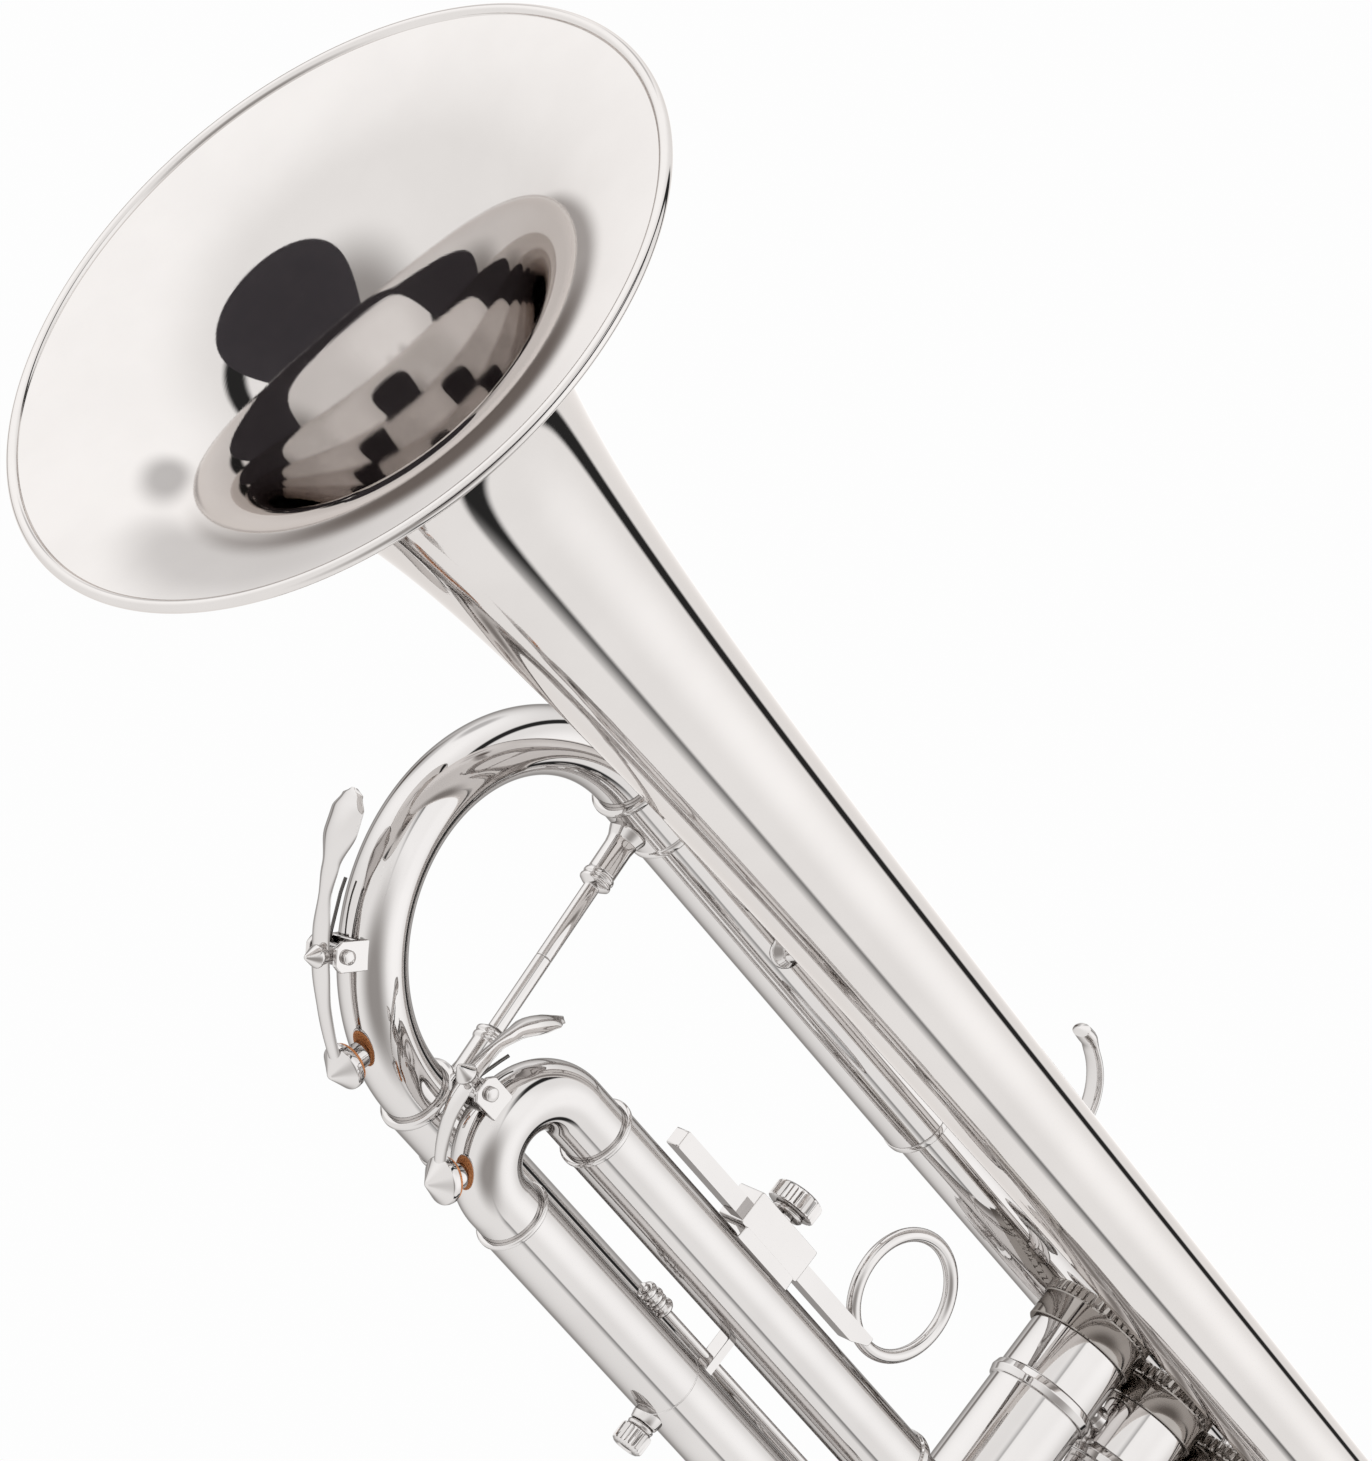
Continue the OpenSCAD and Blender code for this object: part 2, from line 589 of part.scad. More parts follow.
module lyre_screw() color("silver") lyre_frame() {
  translate([0, 0, third_r + 0.2]) cylinder(r = 1.2, h = 3);
  translate([0, 0, third_r + 1.5]) cylinder(r = 2.4, h = 1);
  translate([0, 0, third_r + 2.3]) knurl(3, 4.8, 20);
}

/* first and second slides */
module first_outer_tubes() color("silver") difference() {
  for (z = first_z) x_pipe(valve1_x + 4, first_joint, first_y, z, side_r, side_in_r);
  casing_cores();
}

module first_slide() color("silver") {
  mid = (first_z[0] + first_z[1]) / 2;
  for (z = first_z) {
    x_pipe(valve1_x + 16, first_joint + 8, first_y, z, side_in_r - gap, 5.5);
    x_pipe(first_joint + 0.2, first_joint + 8, first_y, z, side_r + 0.2, side_in_r - gap - tiny);
  }
  translate([first_joint + 8, first_y, mid]) mirror([1, 0, 0])
    u_bend((first_z[0] - first_z[1]) / 2, side_in_r - gap, 5.5);
}

module thumb_saddle() color("silver") difference() {
  translate([first_joint + 4, first_y, first_z[0] + side_r + 8.2]) rotate([0, 90, 0])
    rotate([0, 0, -100]) rotate_extrude(angle = 200) translate([7.4, 0]) square([1.2, 6], center = true);
  along_x(first_joint - 5, first_y, first_z[0]) cylinder(r = side_r + 0.2 + tiny, h = 30);
}

module second_outer_tubes() color("silver") difference() {
  for (z = second_z) along_y(valve2_x, valve_y + 4, z) pipe(side_r, side_in_r, second_joint - valve_y - 4);
  casing_cores();
}

module second_slide() color("silver") {
  mid = (second_z[0] + second_z[1]) / 2;
  for (z = second_z) {
    along_y(valve2_x, valve_y + 11, z) pipe(side_in_r - gap, 5.5, second_joint + 4 - valve_y - 11);
    along_y(valve2_x, second_joint + 0.2, z) pipe(side_r + 0.2, side_in_r - gap - tiny, 3.8);
  }
  translate([valve2_x, second_joint + 4, mid]) rotate([0, 0, -90])
    u_bend((second_z[0] - second_z[1]) / 2, side_in_r - gap, 5.5);
}

module second_knob() color("silver") difference() {
  along_y(valve2_x, second_joint + 12, (second_z[0] + second_z[1]) / 2) {
    cylinder(r = 1.5, h = 15);
    translate([0, 0, 12.4]) cylinder(r1 = 1.6, r2 = 3.2, h = 2);
    translate([0, 0, 14.4]) cylinder(r = 3.2, h = 1.6);
  }
  translate([valve2_x, second_joint + 4, (second_z[0] + second_z[1]) / 2]) rotate([0, 0, -90])
    ring_core((second_z[0] - second_z[1]) / 2, side_in_r - gap + tiny);
  along_y(valve2_x, 0, (second_z[0] + second_z[1]) / 2) cylinder(r = 8, h = second_joint + 13);
}

/* braces and hook */
// rod from the bell stem to the leadpipe side, with a flared foot at each end
module cross_strut(x) translate([x, 0, 0]) rotate([-90 + atan2(lead_z, lead_y), 0, 0]) {
  cylinder(r = 1.5, h = 37);
  translate([0, 0, 26]) cylinder(r1 = 1.5, r2 = 3.4, h = 7);
  translate([0, 0, 6]) cylinder(r1 = 4.4, r2 = 1.5, h = 9);
}

module bell_braces() color("silver") difference() {
  for (x = [184, 362]) cross_strut(x);
  rotate([0, 90, 0]) rotate_extrude()
    polygon([[0, 150], [bell_r(150) + tiny, 150], [bell_r(184) + tiny, 184],
      [bell_r(220) + tiny, 220], [bell_r(300) + tiny, 300], [bell_r(362) + tiny, 362],
      [bell_r(377) + 0.2, 377], [0, 377]]);
  along_x(150, lead_y, lead_z) cylinder(r = outer_r + tiny, h = 80);
  along_x(lead_x - 4, lead_y, lead_z) cylinder(r1 = 5.96, r2 = 5.21, h = 218);
}

module pinky_hook() color("silver") difference() {
  union() {
    translate([258.5, lead_y, lead_z + 21.7]) rotate([90, 0, 0]) rotate([0, 0, -90])
      rotate_extrude(angle = 188) translate([12.8, 0]) square([1.8, 4.4], center = true);
    translate([258.5, lead_y, lead_z + 21.7]) rotate([0, -7, 0]) translate([0, 0, 13.2])
      rotate([90, 0, 0]) cylinder(r = 1.5, h = 5.2, center = true);
    translate([251.5, lead_y - 2.4, lead_z + 4.5]) cube([17, 4.8, 4.7]);
  }
  along_x(lead_x, lead_y, lead_z) cylinder(r1 = 5.98, r2 = 5.6, h = 80);
}

bell();
bell_bow();
bell_ferrules();
bell_tail();
leadpipe();
receiver();
main_outer_upper();
main_outer_lower();
main_inner_tubes();
main_bow();
main_ferrules();
main_brace();
main_key_saddle();
main_key_lever();
main_key_cork();
main_key_screw();
main_key_spring();
casing_1();
casing_2();
casing_3();
knuckles();
top_caps();
bottom_caps();
cap_felts();
valve_guides();
piston_1();
piston_2();
piston_3();
spring_1();
spring_2();
spring_3();
stem_1();
stem_2();
stem_3();
third_bow();
third_outer_tubes();
third_inner_tubes();
third_brace();
third_stop_rod();
third_stop_nuts();
rail_holder();
ring_rail();
rail_screw();
lyre_boss();
lyre_screw();
third_key_saddle();
third_key_lever();
third_key_cork();
third_key_screw();
third_key_spring();
first_outer_tubes();
first_slide();
thumb_saddle();
second_outer_tubes();
second_slide();
second_knob();
bell_braces();
pinky_hook();
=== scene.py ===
"""Looks of the trumpet: smooth silver-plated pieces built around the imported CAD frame.

Lengths are in millimetres in this file and become metres in build(). The bell points to -X, the player
sits at +X, the leadpipe is on +Y and the finger buttons are on +Z.
"""
import math

import bmesh
import bpy
from mathutils import Matrix, Vector


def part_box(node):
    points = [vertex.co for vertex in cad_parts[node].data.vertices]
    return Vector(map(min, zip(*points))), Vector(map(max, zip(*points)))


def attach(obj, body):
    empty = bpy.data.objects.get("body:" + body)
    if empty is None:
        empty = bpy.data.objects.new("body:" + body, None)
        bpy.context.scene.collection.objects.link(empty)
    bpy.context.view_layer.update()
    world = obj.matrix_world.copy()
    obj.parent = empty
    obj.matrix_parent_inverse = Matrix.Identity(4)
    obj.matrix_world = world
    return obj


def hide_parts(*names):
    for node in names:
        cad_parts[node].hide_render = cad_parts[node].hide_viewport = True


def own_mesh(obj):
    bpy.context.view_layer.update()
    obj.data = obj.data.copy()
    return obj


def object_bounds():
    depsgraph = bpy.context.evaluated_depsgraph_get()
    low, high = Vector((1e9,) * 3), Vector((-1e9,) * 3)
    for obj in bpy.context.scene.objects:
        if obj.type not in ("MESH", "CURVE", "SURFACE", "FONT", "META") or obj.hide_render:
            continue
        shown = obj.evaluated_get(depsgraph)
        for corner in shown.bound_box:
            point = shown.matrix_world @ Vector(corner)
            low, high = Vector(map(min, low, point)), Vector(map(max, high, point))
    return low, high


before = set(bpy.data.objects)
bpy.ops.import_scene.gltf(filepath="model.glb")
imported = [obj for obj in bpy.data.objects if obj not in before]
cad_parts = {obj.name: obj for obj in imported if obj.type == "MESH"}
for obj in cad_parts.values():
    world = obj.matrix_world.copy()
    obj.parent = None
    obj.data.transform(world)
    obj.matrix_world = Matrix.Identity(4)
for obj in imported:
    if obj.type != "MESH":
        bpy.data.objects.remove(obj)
cad_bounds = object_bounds()
MM = 0.001
PI = math.pi

# ---------------------------------------------------------------- driving dimensions, as in the CAD
BELL_R, BELL_LEN, BELL_WALL = 61.5, 378.0, 0.7
FLARE_X, FLARE_POWER, TAPER, TAPER_X = 3.233, 0.413, 0.0025, 180.0
LEAD_Y, LEAD_Z = 37.3, -2.2
LOW_Y, LOW_Z = 30.5, -69.0
BOW_X = 137.5
OUTER_R, BOW_TUBE_R, FERRULE_R = 6.75, 6.05, 6.95
FERRULE_END, LEAD_X = BOW_X + 13.3, 238.0
LEG_GAP = math.dist((LEAD_Y, LEAD_Z), (LOW_Y, LOW_Z))
BOW_R = LEG_GAP / 2
TILT = math.atan2(LEAD_Y - LOW_Y, LEAD_Z - LOW_Z)
VALVE_X, VALVE_Y, TRAVEL = (335.1, 311.3, 287.5), 19.8, 14.0
CASING_R, CASING_LOW, CASING_TOP = 9.8, -92.0, -7.0
THIRD_Y, THIRD_UP, THIRD_LOW, THIRD_R = 8.0, -56.8, -77.2, 6.6
THIRD_BOW_X, THIRD_END = 147.5, 258.0
THIRD_BOW_R, THIRD_MID = (THIRD_UP - THIRD_LOW) / 2, (THIRD_UP + THIRD_LOW) / 2
TAIL_Y, TAIL_Z, TAIL_R = 8.5, -67.0, 7.2
FIRST_Y, FIRST_Z = 21.5, (-36.0, -59.0)
SECOND_Z = (-38.0, -60.0)
RAIL_W, RAIL_Z = 3.4, THIRD_UP + 8.7
ROD_Y, ROD_Z = THIRD_Y + 1.5, THIRD_LOW + 8.9


# ---------------------------------------------------------------- materials
class Nodes:
    """Short hand for building a node tree."""

    def __init__(self, tree):
        self.tree = tree

    def add(self, kind, inputs=None, **settings):
        node = self.tree.nodes.new(kind)
        for key, value in settings.items():
            setattr(node, key, value)
        for key, value in (inputs or {}).items():
            self.set(node.inputs[key], value)
        return node

    def set(self, socket, value):
        if isinstance(value, bpy.types.NodeSocket):
            self.tree.links.new(value, socket)
        else:
            socket.default_value = value

    def math(self, op, a, b=0.0, c=0.0, clamp=False):
        node = self.add("ShaderNodeMath", operation=op, use_clamp=clamp)
        for socket, value in zip(node.inputs, (a, b, c)):
            self.set(socket, value)
        return node.outputs[0]

    def smooth(self, value, low, high, to_low=0.0, to_high=1.0):
        return self.add("ShaderNodeMapRange", {"Value": value, "From Min": low, "From Max": high,
                        "To Min": to_low, "To Max": to_high}, interpolation_type="SMOOTHSTEP").outputs[0]

    def noise(self, vector, scale, detail=3.0):
        return self.add("ShaderNodeTexNoise", {"Vector": vector, "Scale": scale, "Detail": detail})

    def mix(self, factor, a, b):
        node = self.add("ShaderNodeMix", data_type="RGBA")
        for socket, value in zip((node.inputs[0], node.inputs[6], node.inputs[7]), (factor, a, b)):
            self.set(socket, value)
        return node.outputs[2]

    def veil(self, shader, show):
        """Lets a ray through the surface where `show` is 0 and meets the shader where it is 1."""
        outlet = next(x for x in self.tree.nodes if x.type == "OUTPUT_MATERIAL")
        mixer = self.add("ShaderNodeMixShader", {"Fac": show,
                                                 1: self.add("ShaderNodeBsdfTransparent").outputs[0],
                                                 2: shader.outputs[0]})
        self.set(outlet.inputs[0], mixer.outputs[0])


def material(name):
    """A new material with its Principled shader, object coordinates and node helper."""
    m = bpy.data.materials.new(name)
    m.use_nodes = True
    n = Nodes(m.node_tree)
    shader = next(x for x in m.node_tree.nodes if x.type == "BSDF_PRINCIPLED")
    where = n.add("ShaderNodeTexCoord").outputs["Object"]
    return m, n, shader, where


def metal(name, light, dark, rough, ripple=0.02, spun=0.0, edge=0.30):
    """Polished plate: faint clouds in colour and gloss, a soft ripple, and turning marks where spun."""
    m, n, shader, where = material(name)
    clouds = n.noise(where, 55.0, 4.0).outputs["Fac"]
    n.set(shader.inputs["Base Color"], n.mix(n.smooth(clouds, 0.3, 0.7), dark + (1,), light + (1,)))
    n.set(shader.inputs["Metallic"], 1.0)
    n.set(shader.inputs["Specular Tint"], (edge, edge * 0.97, edge * 0.95, 1))
    fine = n.noise(where, 420.0, 5.0).outputs["Fac"]
    n.set(shader.inputs["Roughness"], n.smooth(fine, 0.25, 0.8, rough * 0.6, rough * 1.5))
    wave = n.noise(where, 130.0, 1.0).outputs["Fac"]
    bump = n.add("ShaderNodeBump", {"Height": wave, "Strength": ripple, "Distance": 0.0004})
    if spun:
        split = n.add("ShaderNodeSeparateXYZ", {"Vector": where}).outputs
        radius = n.math("SQRT", n.math("ADD", n.math("MULTIPLY", split[1], split[1]),
                                       n.math("MULTIPLY", split[2], split[2])))
        along = n.add("ShaderNodeCombineXYZ", {"X": n.math("SUBTRACT", radius, split[0])}).outputs[0]
        lines = n.noise(along, 3200.0, 4.0).outputs["Fac"]
        bump = n.add("ShaderNodeBump", {"Height": lines, "Strength": spun, "Distance": 0.00002,
                                        "Normal": bump.outputs[0]})
    n.set(shader.inputs["Normal"], bump.outputs[0])
    return m


def soft(name, light, dark, scale, rough, height, sheen=0.0):
    """Cork, felt or moulded plastic: mottled colour with a matching grain."""
    m, n, shader, where = material(name)
    grain = n.noise(where, scale, 6.0).outputs["Fac"]
    n.set(shader.inputs["Base Color"], n.mix(n.smooth(grain, 0.35, 0.65), dark + (1,), light + (1,)))
    n.set(shader.inputs["Roughness"], n.smooth(grain, 0.3, 0.7, rough, rough * 0.8))
    n.set(shader.inputs["Sheen Weight"], sheen)
    n.set(shader.inputs["Normal"], n.add("ShaderNodeBump", {
        "Height": grain, "Strength": 0.6, "Distance": height}).outputs[0])
    return m


SILVER = metal("silver_plate", (0.70, 0.68, 0.67), (0.67, 0.65, 0.64), 0.03)
SPUN = metal("silver_plate_spun", (0.715, 0.69, 0.675), (0.69, 0.665, 0.65), 0.035, 0.012, 0.10, 0.85)
NICKEL = metal("nickel_silver", (0.62, 0.60, 0.58), (0.57, 0.55, 0.53), 0.08, 0.03)
# darker copy of the silver plate: painted shade for the top caps, while the bottom caps keep the plain
# plate
SHADED_CAP_PLATE = metal("cap_plate_painted_shade", (0.40, 0.375, 0.355), (0.34, 0.315, 0.295), 0.05, 0.03)
MONEL = metal("monel", (0.52, 0.50, 0.475), (0.44, 0.42, 0.40), 0.22, 0.03)
STEEL = metal("spring_steel", (0.20, 0.19, 0.185), (0.12, 0.115, 0.11), 0.14, 0.05)
CORK = soft("cork", (0.78, 0.33, 0.12), (0.50, 0.17, 0.05), 2600.0, 0.75, 0.00012)
FELT = soft("felt", (0.82, 0.81, 0.79), (0.62, 0.61, 0.60), 3500.0, 0.95, 0.00018, 0.5)
NYLON = soft("nylon", (0.86, 0.85, 0.82), (0.80, 0.79, 0.76), 700.0, 0.4, 0.00002)
PEARL = soft("pearl_inlay", (0.93, 0.92, 0.90), (0.78, 0.80, 0.84), 190.0, 0.14, 0.00001)
FINISH = {"silver_plate": SILVER, "nickel_silver": NICKEL, "monel": MONEL, "spring_steel": STEEL,
          "cork": CORK, "felt": FELT, "nylon": NYLON}


# ---------------------------------------------------------------- mesh tools
def build(name, verts, faces, body, nodes=(), slot="silver_plate", look=None, sharp=40.0):
    """A finished piece from millimetre points: closed, smooth, on its body and in its finish."""
    mesh = bpy.data.meshes.new(name)
    mesh.from_pydata([Vector(v) * MM for v in verts], [], faces)
    b = bmesh.new()
    b.from_mesh(mesh)
    bmesh.ops.remove_doubles(b, verts=b.verts, dist=2e-7)
    bmesh.ops.dissolve_degenerate(b, edges=b.edges, dist=1e-8)
    bmesh.ops.recalc_face_normals(b, faces=b.faces)
    b.to_mesh(mesh)
    b.free()
    mesh.shade_smooth()
    mesh.set_sharp_from_angle(angle=math.radians(sharp))
    obj = bpy.data.objects.new(name, mesh)
    bpy.context.scene.collection.objects.link(obj)
    mesh.materials.append(look or FINISH[slot])
    even = obj.modifiers.new("even_shading", "WEIGHTED_NORMAL")
    even.keep_sharp = True
    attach(obj, body)
    if nodes:
        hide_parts(*nodes)
    return obj


class Shape:
    """Points and faces gathered from several forms, so that one piece can hold more than one."""

    def __init__(self):
        self.verts, self.faces = [], []

    def grid(self, rings, closed_along=False):
        """Faces between rings of points, with an end cap at each end unless the rings close."""
        base, m = len(self.verts), len(rings[0])
        for ring in rings:
            self.verts.extend(ring)
        rows = len(rings) if closed_along else len(rings) - 1
        for i in range(rows):
            a, c = base + i * m, base + ((i + 1) % len(rings)) * m
            for j in range(m):
                k = (j + 1) % m
                self.faces.append((a + j, a + k, c + k, c + j))
        if not closed_along:
            self.faces.append(tuple(base + j for j in range(m)))
            self.faces.append(tuple(base + (len(rings) - 1) * m + j for j in range(m - 1, -1, -1)))
        return self

    def lathe(self, profile, at=(0, 0, 0), axis=(0, 0, 1), ease=0.15, seg=96, teeth=0, depth=0.0):
        """A closed (radius, height) outline turned about an axis. Where teeth is given, points with a
        third value above 0 carry knurling of that share of depth."""
        points = eased(profile, ease)
        turn = Vector(axis).to_track_quat("Z", "Y").to_matrix()
        at = Vector(at)
        if teeth:
            seg = teeth * 4
        rings = []
        for k in range(seg):
            a = 2 * PI * k / seg
            cut = depth * (0.0, 0.5, 1.0, 0.5)[k % 4] if teeth else 0.0
            rings.append([at + turn @ Vector(((p[0] - cut * p[2]) * math.cos(a),
                                              (p[0] - cut * p[2]) * math.sin(a), p[1])) for p in points])
        return self.grid(rings, closed_along=True)

    def sweep(self, path, radius, sides=40, closed=False, flat=1.0, side=(0, 1, 0)):
        """Round bar along a path; radius is a number or a list, and flat squeezes it across side."""
        path = [Vector(p) for p in path]
        n = len(path)
        rings, u = [], None
        for i, p in enumerate(path):
            if closed:
                run = path[(i + 1) % n] - path[i - 1]
            else:
                run = path[min(i + 1, n - 1)] - path[max(i - 1, 0)]
            run.normalize()
            if u is None:
                u = Vector(side) - run * run.dot(Vector(side))
                if u.length < 1e-3:
                    u = run.orthogonal()
            u = (u - run * run.dot(u)).normalized()
            v = run.cross(u)
            r = radius[i] if isinstance(radius, (list, tuple)) else radius
            rings.append([p + (u * math.cos(2 * PI * k / sides)
                               + v * flat * math.sin(2 * PI * k / sides)) * r
                          for k in range(sides)])
        return self.grid(rings, closed_along=closed)

    def slab(self, outline, low, high, matrix=Matrix.Identity(4), ease=0.25):
        """A flat outline in local XZ given depth from low to high in local Y, with eased edges."""
        pts = [Vector(p[:2]) for p in eased(outline, ease * 1.6, 5)]
        centre = sum(pts, Vector((0, 0))) / len(pts)
        rings = []
        for k in range(9):
            a = PI / 2 * min(k, 4) / 4 if k < 5 else PI / 2 * (8 - k) / 4
            inset = ease * (1 - math.sin(a))
            if k < 5:
                y = low + ease * (1 - math.cos(a))
            else:
                y = high - ease * (1 - math.cos(a))
            rings.append([matrix @ Vector((p.x - (p - centre).normalized().x * inset, y,
                                           p.y - (p - centre).normalized().y * inset)) for p in pts])
        return self.grid(rings)

    def join(self, other):
        """Takes in the points and faces of another shape."""
        base = len(self.verts)
        self.verts += other.verts
        self.faces += [tuple(base + j for j in f) for f in other.faces]

    def moved(self, matrix):
        self.verts = [matrix @ Vector(v) for v in self.verts]
        return self

    def done(self, name, body, nodes=(), **more):
        return build(name, self.verts, self.faces, body, nodes, **more)


def eased(profile, radius, steps=4):
    """A closed outline with each corner replaced by a small curve."""
    pts = [tuple(p) + (0.0,) * (3 - len(p)) for p in profile]
    out = []
    for i, p in enumerate(pts):
        a, c = Vector(pts[i - 1]), Vector(pts[(i + 1) % len(pts)])
        p = Vector(p)
        la, lc = (a - p).length, (c - p).length
        turn = (p - a).angle(c - p, 0.0) if la > 1e-6 and lc > 1e-6 else 0.0
        k = min(radius, la * 0.45, lc * 0.45)
        if p.x <= 1e-6 or turn < 0.2 or k < 1e-3:
            out.append(p)
            continue
        s, e = p + (a - p) / la * k, p + (c - p) / lc * k
        for j in range(steps + 1):
            t = j / steps
            out.append(s * (1 - t) ** 2 + p * 2 * t * (1 - t) + e * t * t)
    return out


def arc(centre, u, v, radius, start, end, steps):
    """Points of a circle from start to end degrees, measured from u towards v."""
    centre, u, v = Vector(centre), Vector(u), Vector(v)
    return [centre + (u * math.cos(math.radians(start + (end - start) * i / steps))
                      + v * math.sin(math.radians(start + (end - start) * i / steps))) * radius
            for i in range(steps + 1)]


def curve_at(table, t):
    """Smooth value of a (position, value) table."""
    for (a, fa), (b, fb) in zip(table, table[1:]):
        if t <= b:
            k = max(0.0, min(1.0, (t - a) / (b - a)))
            k = k * k * (3 - 2 * k)
            return fa + (fb - fa) * k
    return table[-1][1]


X, Y, Z = Vector((1, 0, 0)), Vector((0, 1, 0)), Vector((0, 0, 1))


def x_tube(x0, x1, r, wall, beads=()):
    """Outline of a tube along an axis, with raised beads given as (start, end, height)."""
    out = [(r - wall, x0), (r, x0)]
    for a, c, h in beads:
        if a <= x0 + 0.01:
            out[-1] = (r + h, x0)
        else:
            out += [(r, a), (r + h, a)]
        out += [(r + h, c)] if c >= x1 - 0.01 else [(r + h, c), (r, c)]
    if not beads or beads[-1][1] < x1 - 0.01:
        out.append((r, x1))
    return out + [(r - wall, x1)]


# ---------------------------------------------------------------- bell
def bell_r(x):
    """Outer radius of the bell: a horn curve from the rim, with a little extra taper past TAPER_X."""
    return BELL_R * (FLARE_X / (x + FLARE_X)) ** FLARE_POWER - TAPER * max(0.0, x - TAPER_X)


def bell_inner(x):
    """Point of the inner skin, one wall in from the outer one at x."""
    slope = (bell_r(x + 0.01) - bell_r(x)) / 0.01
    k = BELL_WALL / math.hypot(1, slope)
    return bell_r(x) - k, x + k * slope


def make_bell():
    """Bell with both skins and the rolled rim wire, as one closed outline."""
    rim_r, rim_x, wire = BELL_R - 0.6, -0.35, 1.1
    stations = [0.22 + (BELL_LEN - 0.22) * (i / 170) ** 2.6 for i in range(171)]
    outline = [(bell_r(x), x) for x in stations]
    outline += [bell_inner(x) for x in reversed(stations)]
    outline += [(rim_r + wire * math.cos(math.radians(a)), rim_x + wire * math.sin(math.radians(a)))
                for a in range(190, 508, 12)]
    s = Shape().lathe(outline, axis=X, ease=0.0, seg=256)
    return s.done("bell_flare", "instrument", ("bell",), look=SPUN, sharp=60)


make_bell()

half = math.dist((0, 0), (TAIL_Y, TAIL_Z)) / 2
tail_dir = Vector((0, TAIL_Y, TAIL_Z)).normalized()
bow = arc((BELL_LEN, TAIL_Y / 2, TAIL_Z / 2), -tail_dir, X, half, 0, 180, 72)
radii = [7.55 + (TAIL_R - 7.55) * min(1, i / 30) for i in range(73)]
Shape().sweep(bow, radii, 56).done("bell_bow_tube", "instrument", ("bell_bow",))
lip = bell_r(BELL_LEN - 5)
s = Shape().lathe([(lip + 0.02, -0.5), (lip + 0.55, -0.5), (lip + 0.8, 0.3), (lip + 0.8, 4.2),
                   (lip + 0.45, 4.6), (lip + 0.45, 5.4), (lip + 0.02, 5.4)], (BELL_LEN - 5, 0, 0), X)
s.lathe([(TAIL_R, -9), (TAIL_R + 0.7, -9), (TAIL_R + 0.95, -8.4), (TAIL_R + 0.7, -7.6),
         (TAIL_R + 0.7, -1.4), (TAIL_R + 0.95, -0.8), (TAIL_R + 0.7, -0.1), (TAIL_R, -0.1)], (BELL_LEN,
         TAIL_Y, TAIL_Z), X)
s.done("bell_bow_ferrules", "instrument", ("bell_ferrules",))
elbow = arc((VALVE_X[0] + 8.5, TAIL_Y + 9, TAIL_Z), -Y, -X, 9, 0, 75, 20)
Shape().sweep([(BELL_LEN, TAIL_Y, TAIL_Z), (VALVE_X[0] + 20, TAIL_Y, TAIL_Z)] + elbow, TAIL_R, 56).done(
    "bell_tail_tube", "instrument", ("bell_tail",))

# ---------------------------------------------------------------- leadpipe side
s = Shape().lathe([(5.4, 0), (6.2, 0), (6.2, 4), (6.9, 4), (6.95, 4.7), (6.9, 5.4), (5.93, 5.4), (5.75, 60),
                   (5.2, 218), (4.6, 218)], (LEAD_X - 4, LEAD_Y, LEAD_Z), X)
s.done("leadpipe_taper", "instrument", ("leadpipe",))
s = Shape().lathe([(5.32, 0), (6.6, 0), (6.8, 0.8), (6.6, 2.2), (6.1, 3), (6.1, 39), (6.5, 41), (7.4, 42.2),
                   (7.55, 44.6), (7.2, 47), (5.0, 47), (5.0, 22), (4.85, 22), (4.85, 17), (5.32, 17)],
                  (436, LEAD_Y, LEAD_Z), X)
s.done("mouthpiece_receiver", "instrument", ("receiver",))
Shape().lathe(x_tube(FERRULE_END + 0.2, LEAD_X, OUTER_R, 0.5), (0, LEAD_Y, LEAD_Z), X).done(
    "slide_outer_upper", "instrument", ("main_outer_upper",))
low = [(FERRULE_END + 0.2, LOW_Y, LOW_Z), (200, LOW_Y, LOW_Z), (VALVE_X[2] - 20, LOW_Y, LOW_Z)]
low += arc((VALVE_X[2] - 9.5, LOW_Y - 9, LOW_Z), Y, X, 9, 0, 75, 20)
Shape().sweep(low, OUTER_R, 64).done("slide_outer_lower", "instrument", ("main_outer_lower",))

# ---------------------------------------------------------------- main tuning slide
MAIN = (Matrix.Translation((BOW_X, (LEAD_Y + LOW_Y) / 2, (LEAD_Z + LOW_Z) / 2))
        @ Matrix.Rotation(-TILT, 4, "X"))
s = Shape()
for side in (-1, 1):
    s.lathe(x_tube(3.5, 230 - BOW_X, 6.2, 0.35), (0, 0, side * BOW_R), X)
s.moved(MAIN).done("main_inner_tube_pair", "main_slide", ("main_inner_tubes",), slot="nickel_silver")
path = [Vector((3.4, 0, BOW_R))] + arc((0, 0, 0), Z, -X, BOW_R, 0, 180, 96) + [Vector((3.4, 0, -BOW_R))]
Shape().sweep(path, BOW_TUBE_R, 64).moved(MAIN).done("main_bow_tube", "main_slide", ("main_bow",))
s = Shape()
long = FERRULE_END - BOW_X
for side in (-1, 1):
    s.lathe([(6.06, 0), (6.75, 0), (7.3, 0.35), (7.38, 0.85), (7.25, 1.35), (6.95, 1.6), (6.95, long - 1.5),
             (7.2, long - 1.2), (7.28, long - 0.7), (7.2, long - 0.1), (6.22, long)],
            (0, 0, side * BOW_R), X, ease=0.12)
s.moved(MAIN).done("main_ferrule_pair", "main_slide", ("main_ferrules",))
s = Shape()
for side in (-1, 1):
    reach = BOW_R - FERRULE_R + 0.35
    s.lathe([(0, 0), (1.5, 0), (1.5, 15.4), (2.0, 15.6), (2.95, 16.2), (3.0, 16.7), (2.75, 17.1),
             (2.95, 17.5), (2.9, 18.0), (2.6, 18.4), (2.6, reach - 3.2), (2.8, reach - 1.8),
             (3.4, reach - 0.4), (3.6, reach + 0.2), (0, reach + 0.2)],
            (7, 0, 0), (0, 0, side), ease=0.2, seg=64)
s.moved(MAIN).done("main_cross_brace", "main_slide", ("main_brace",))


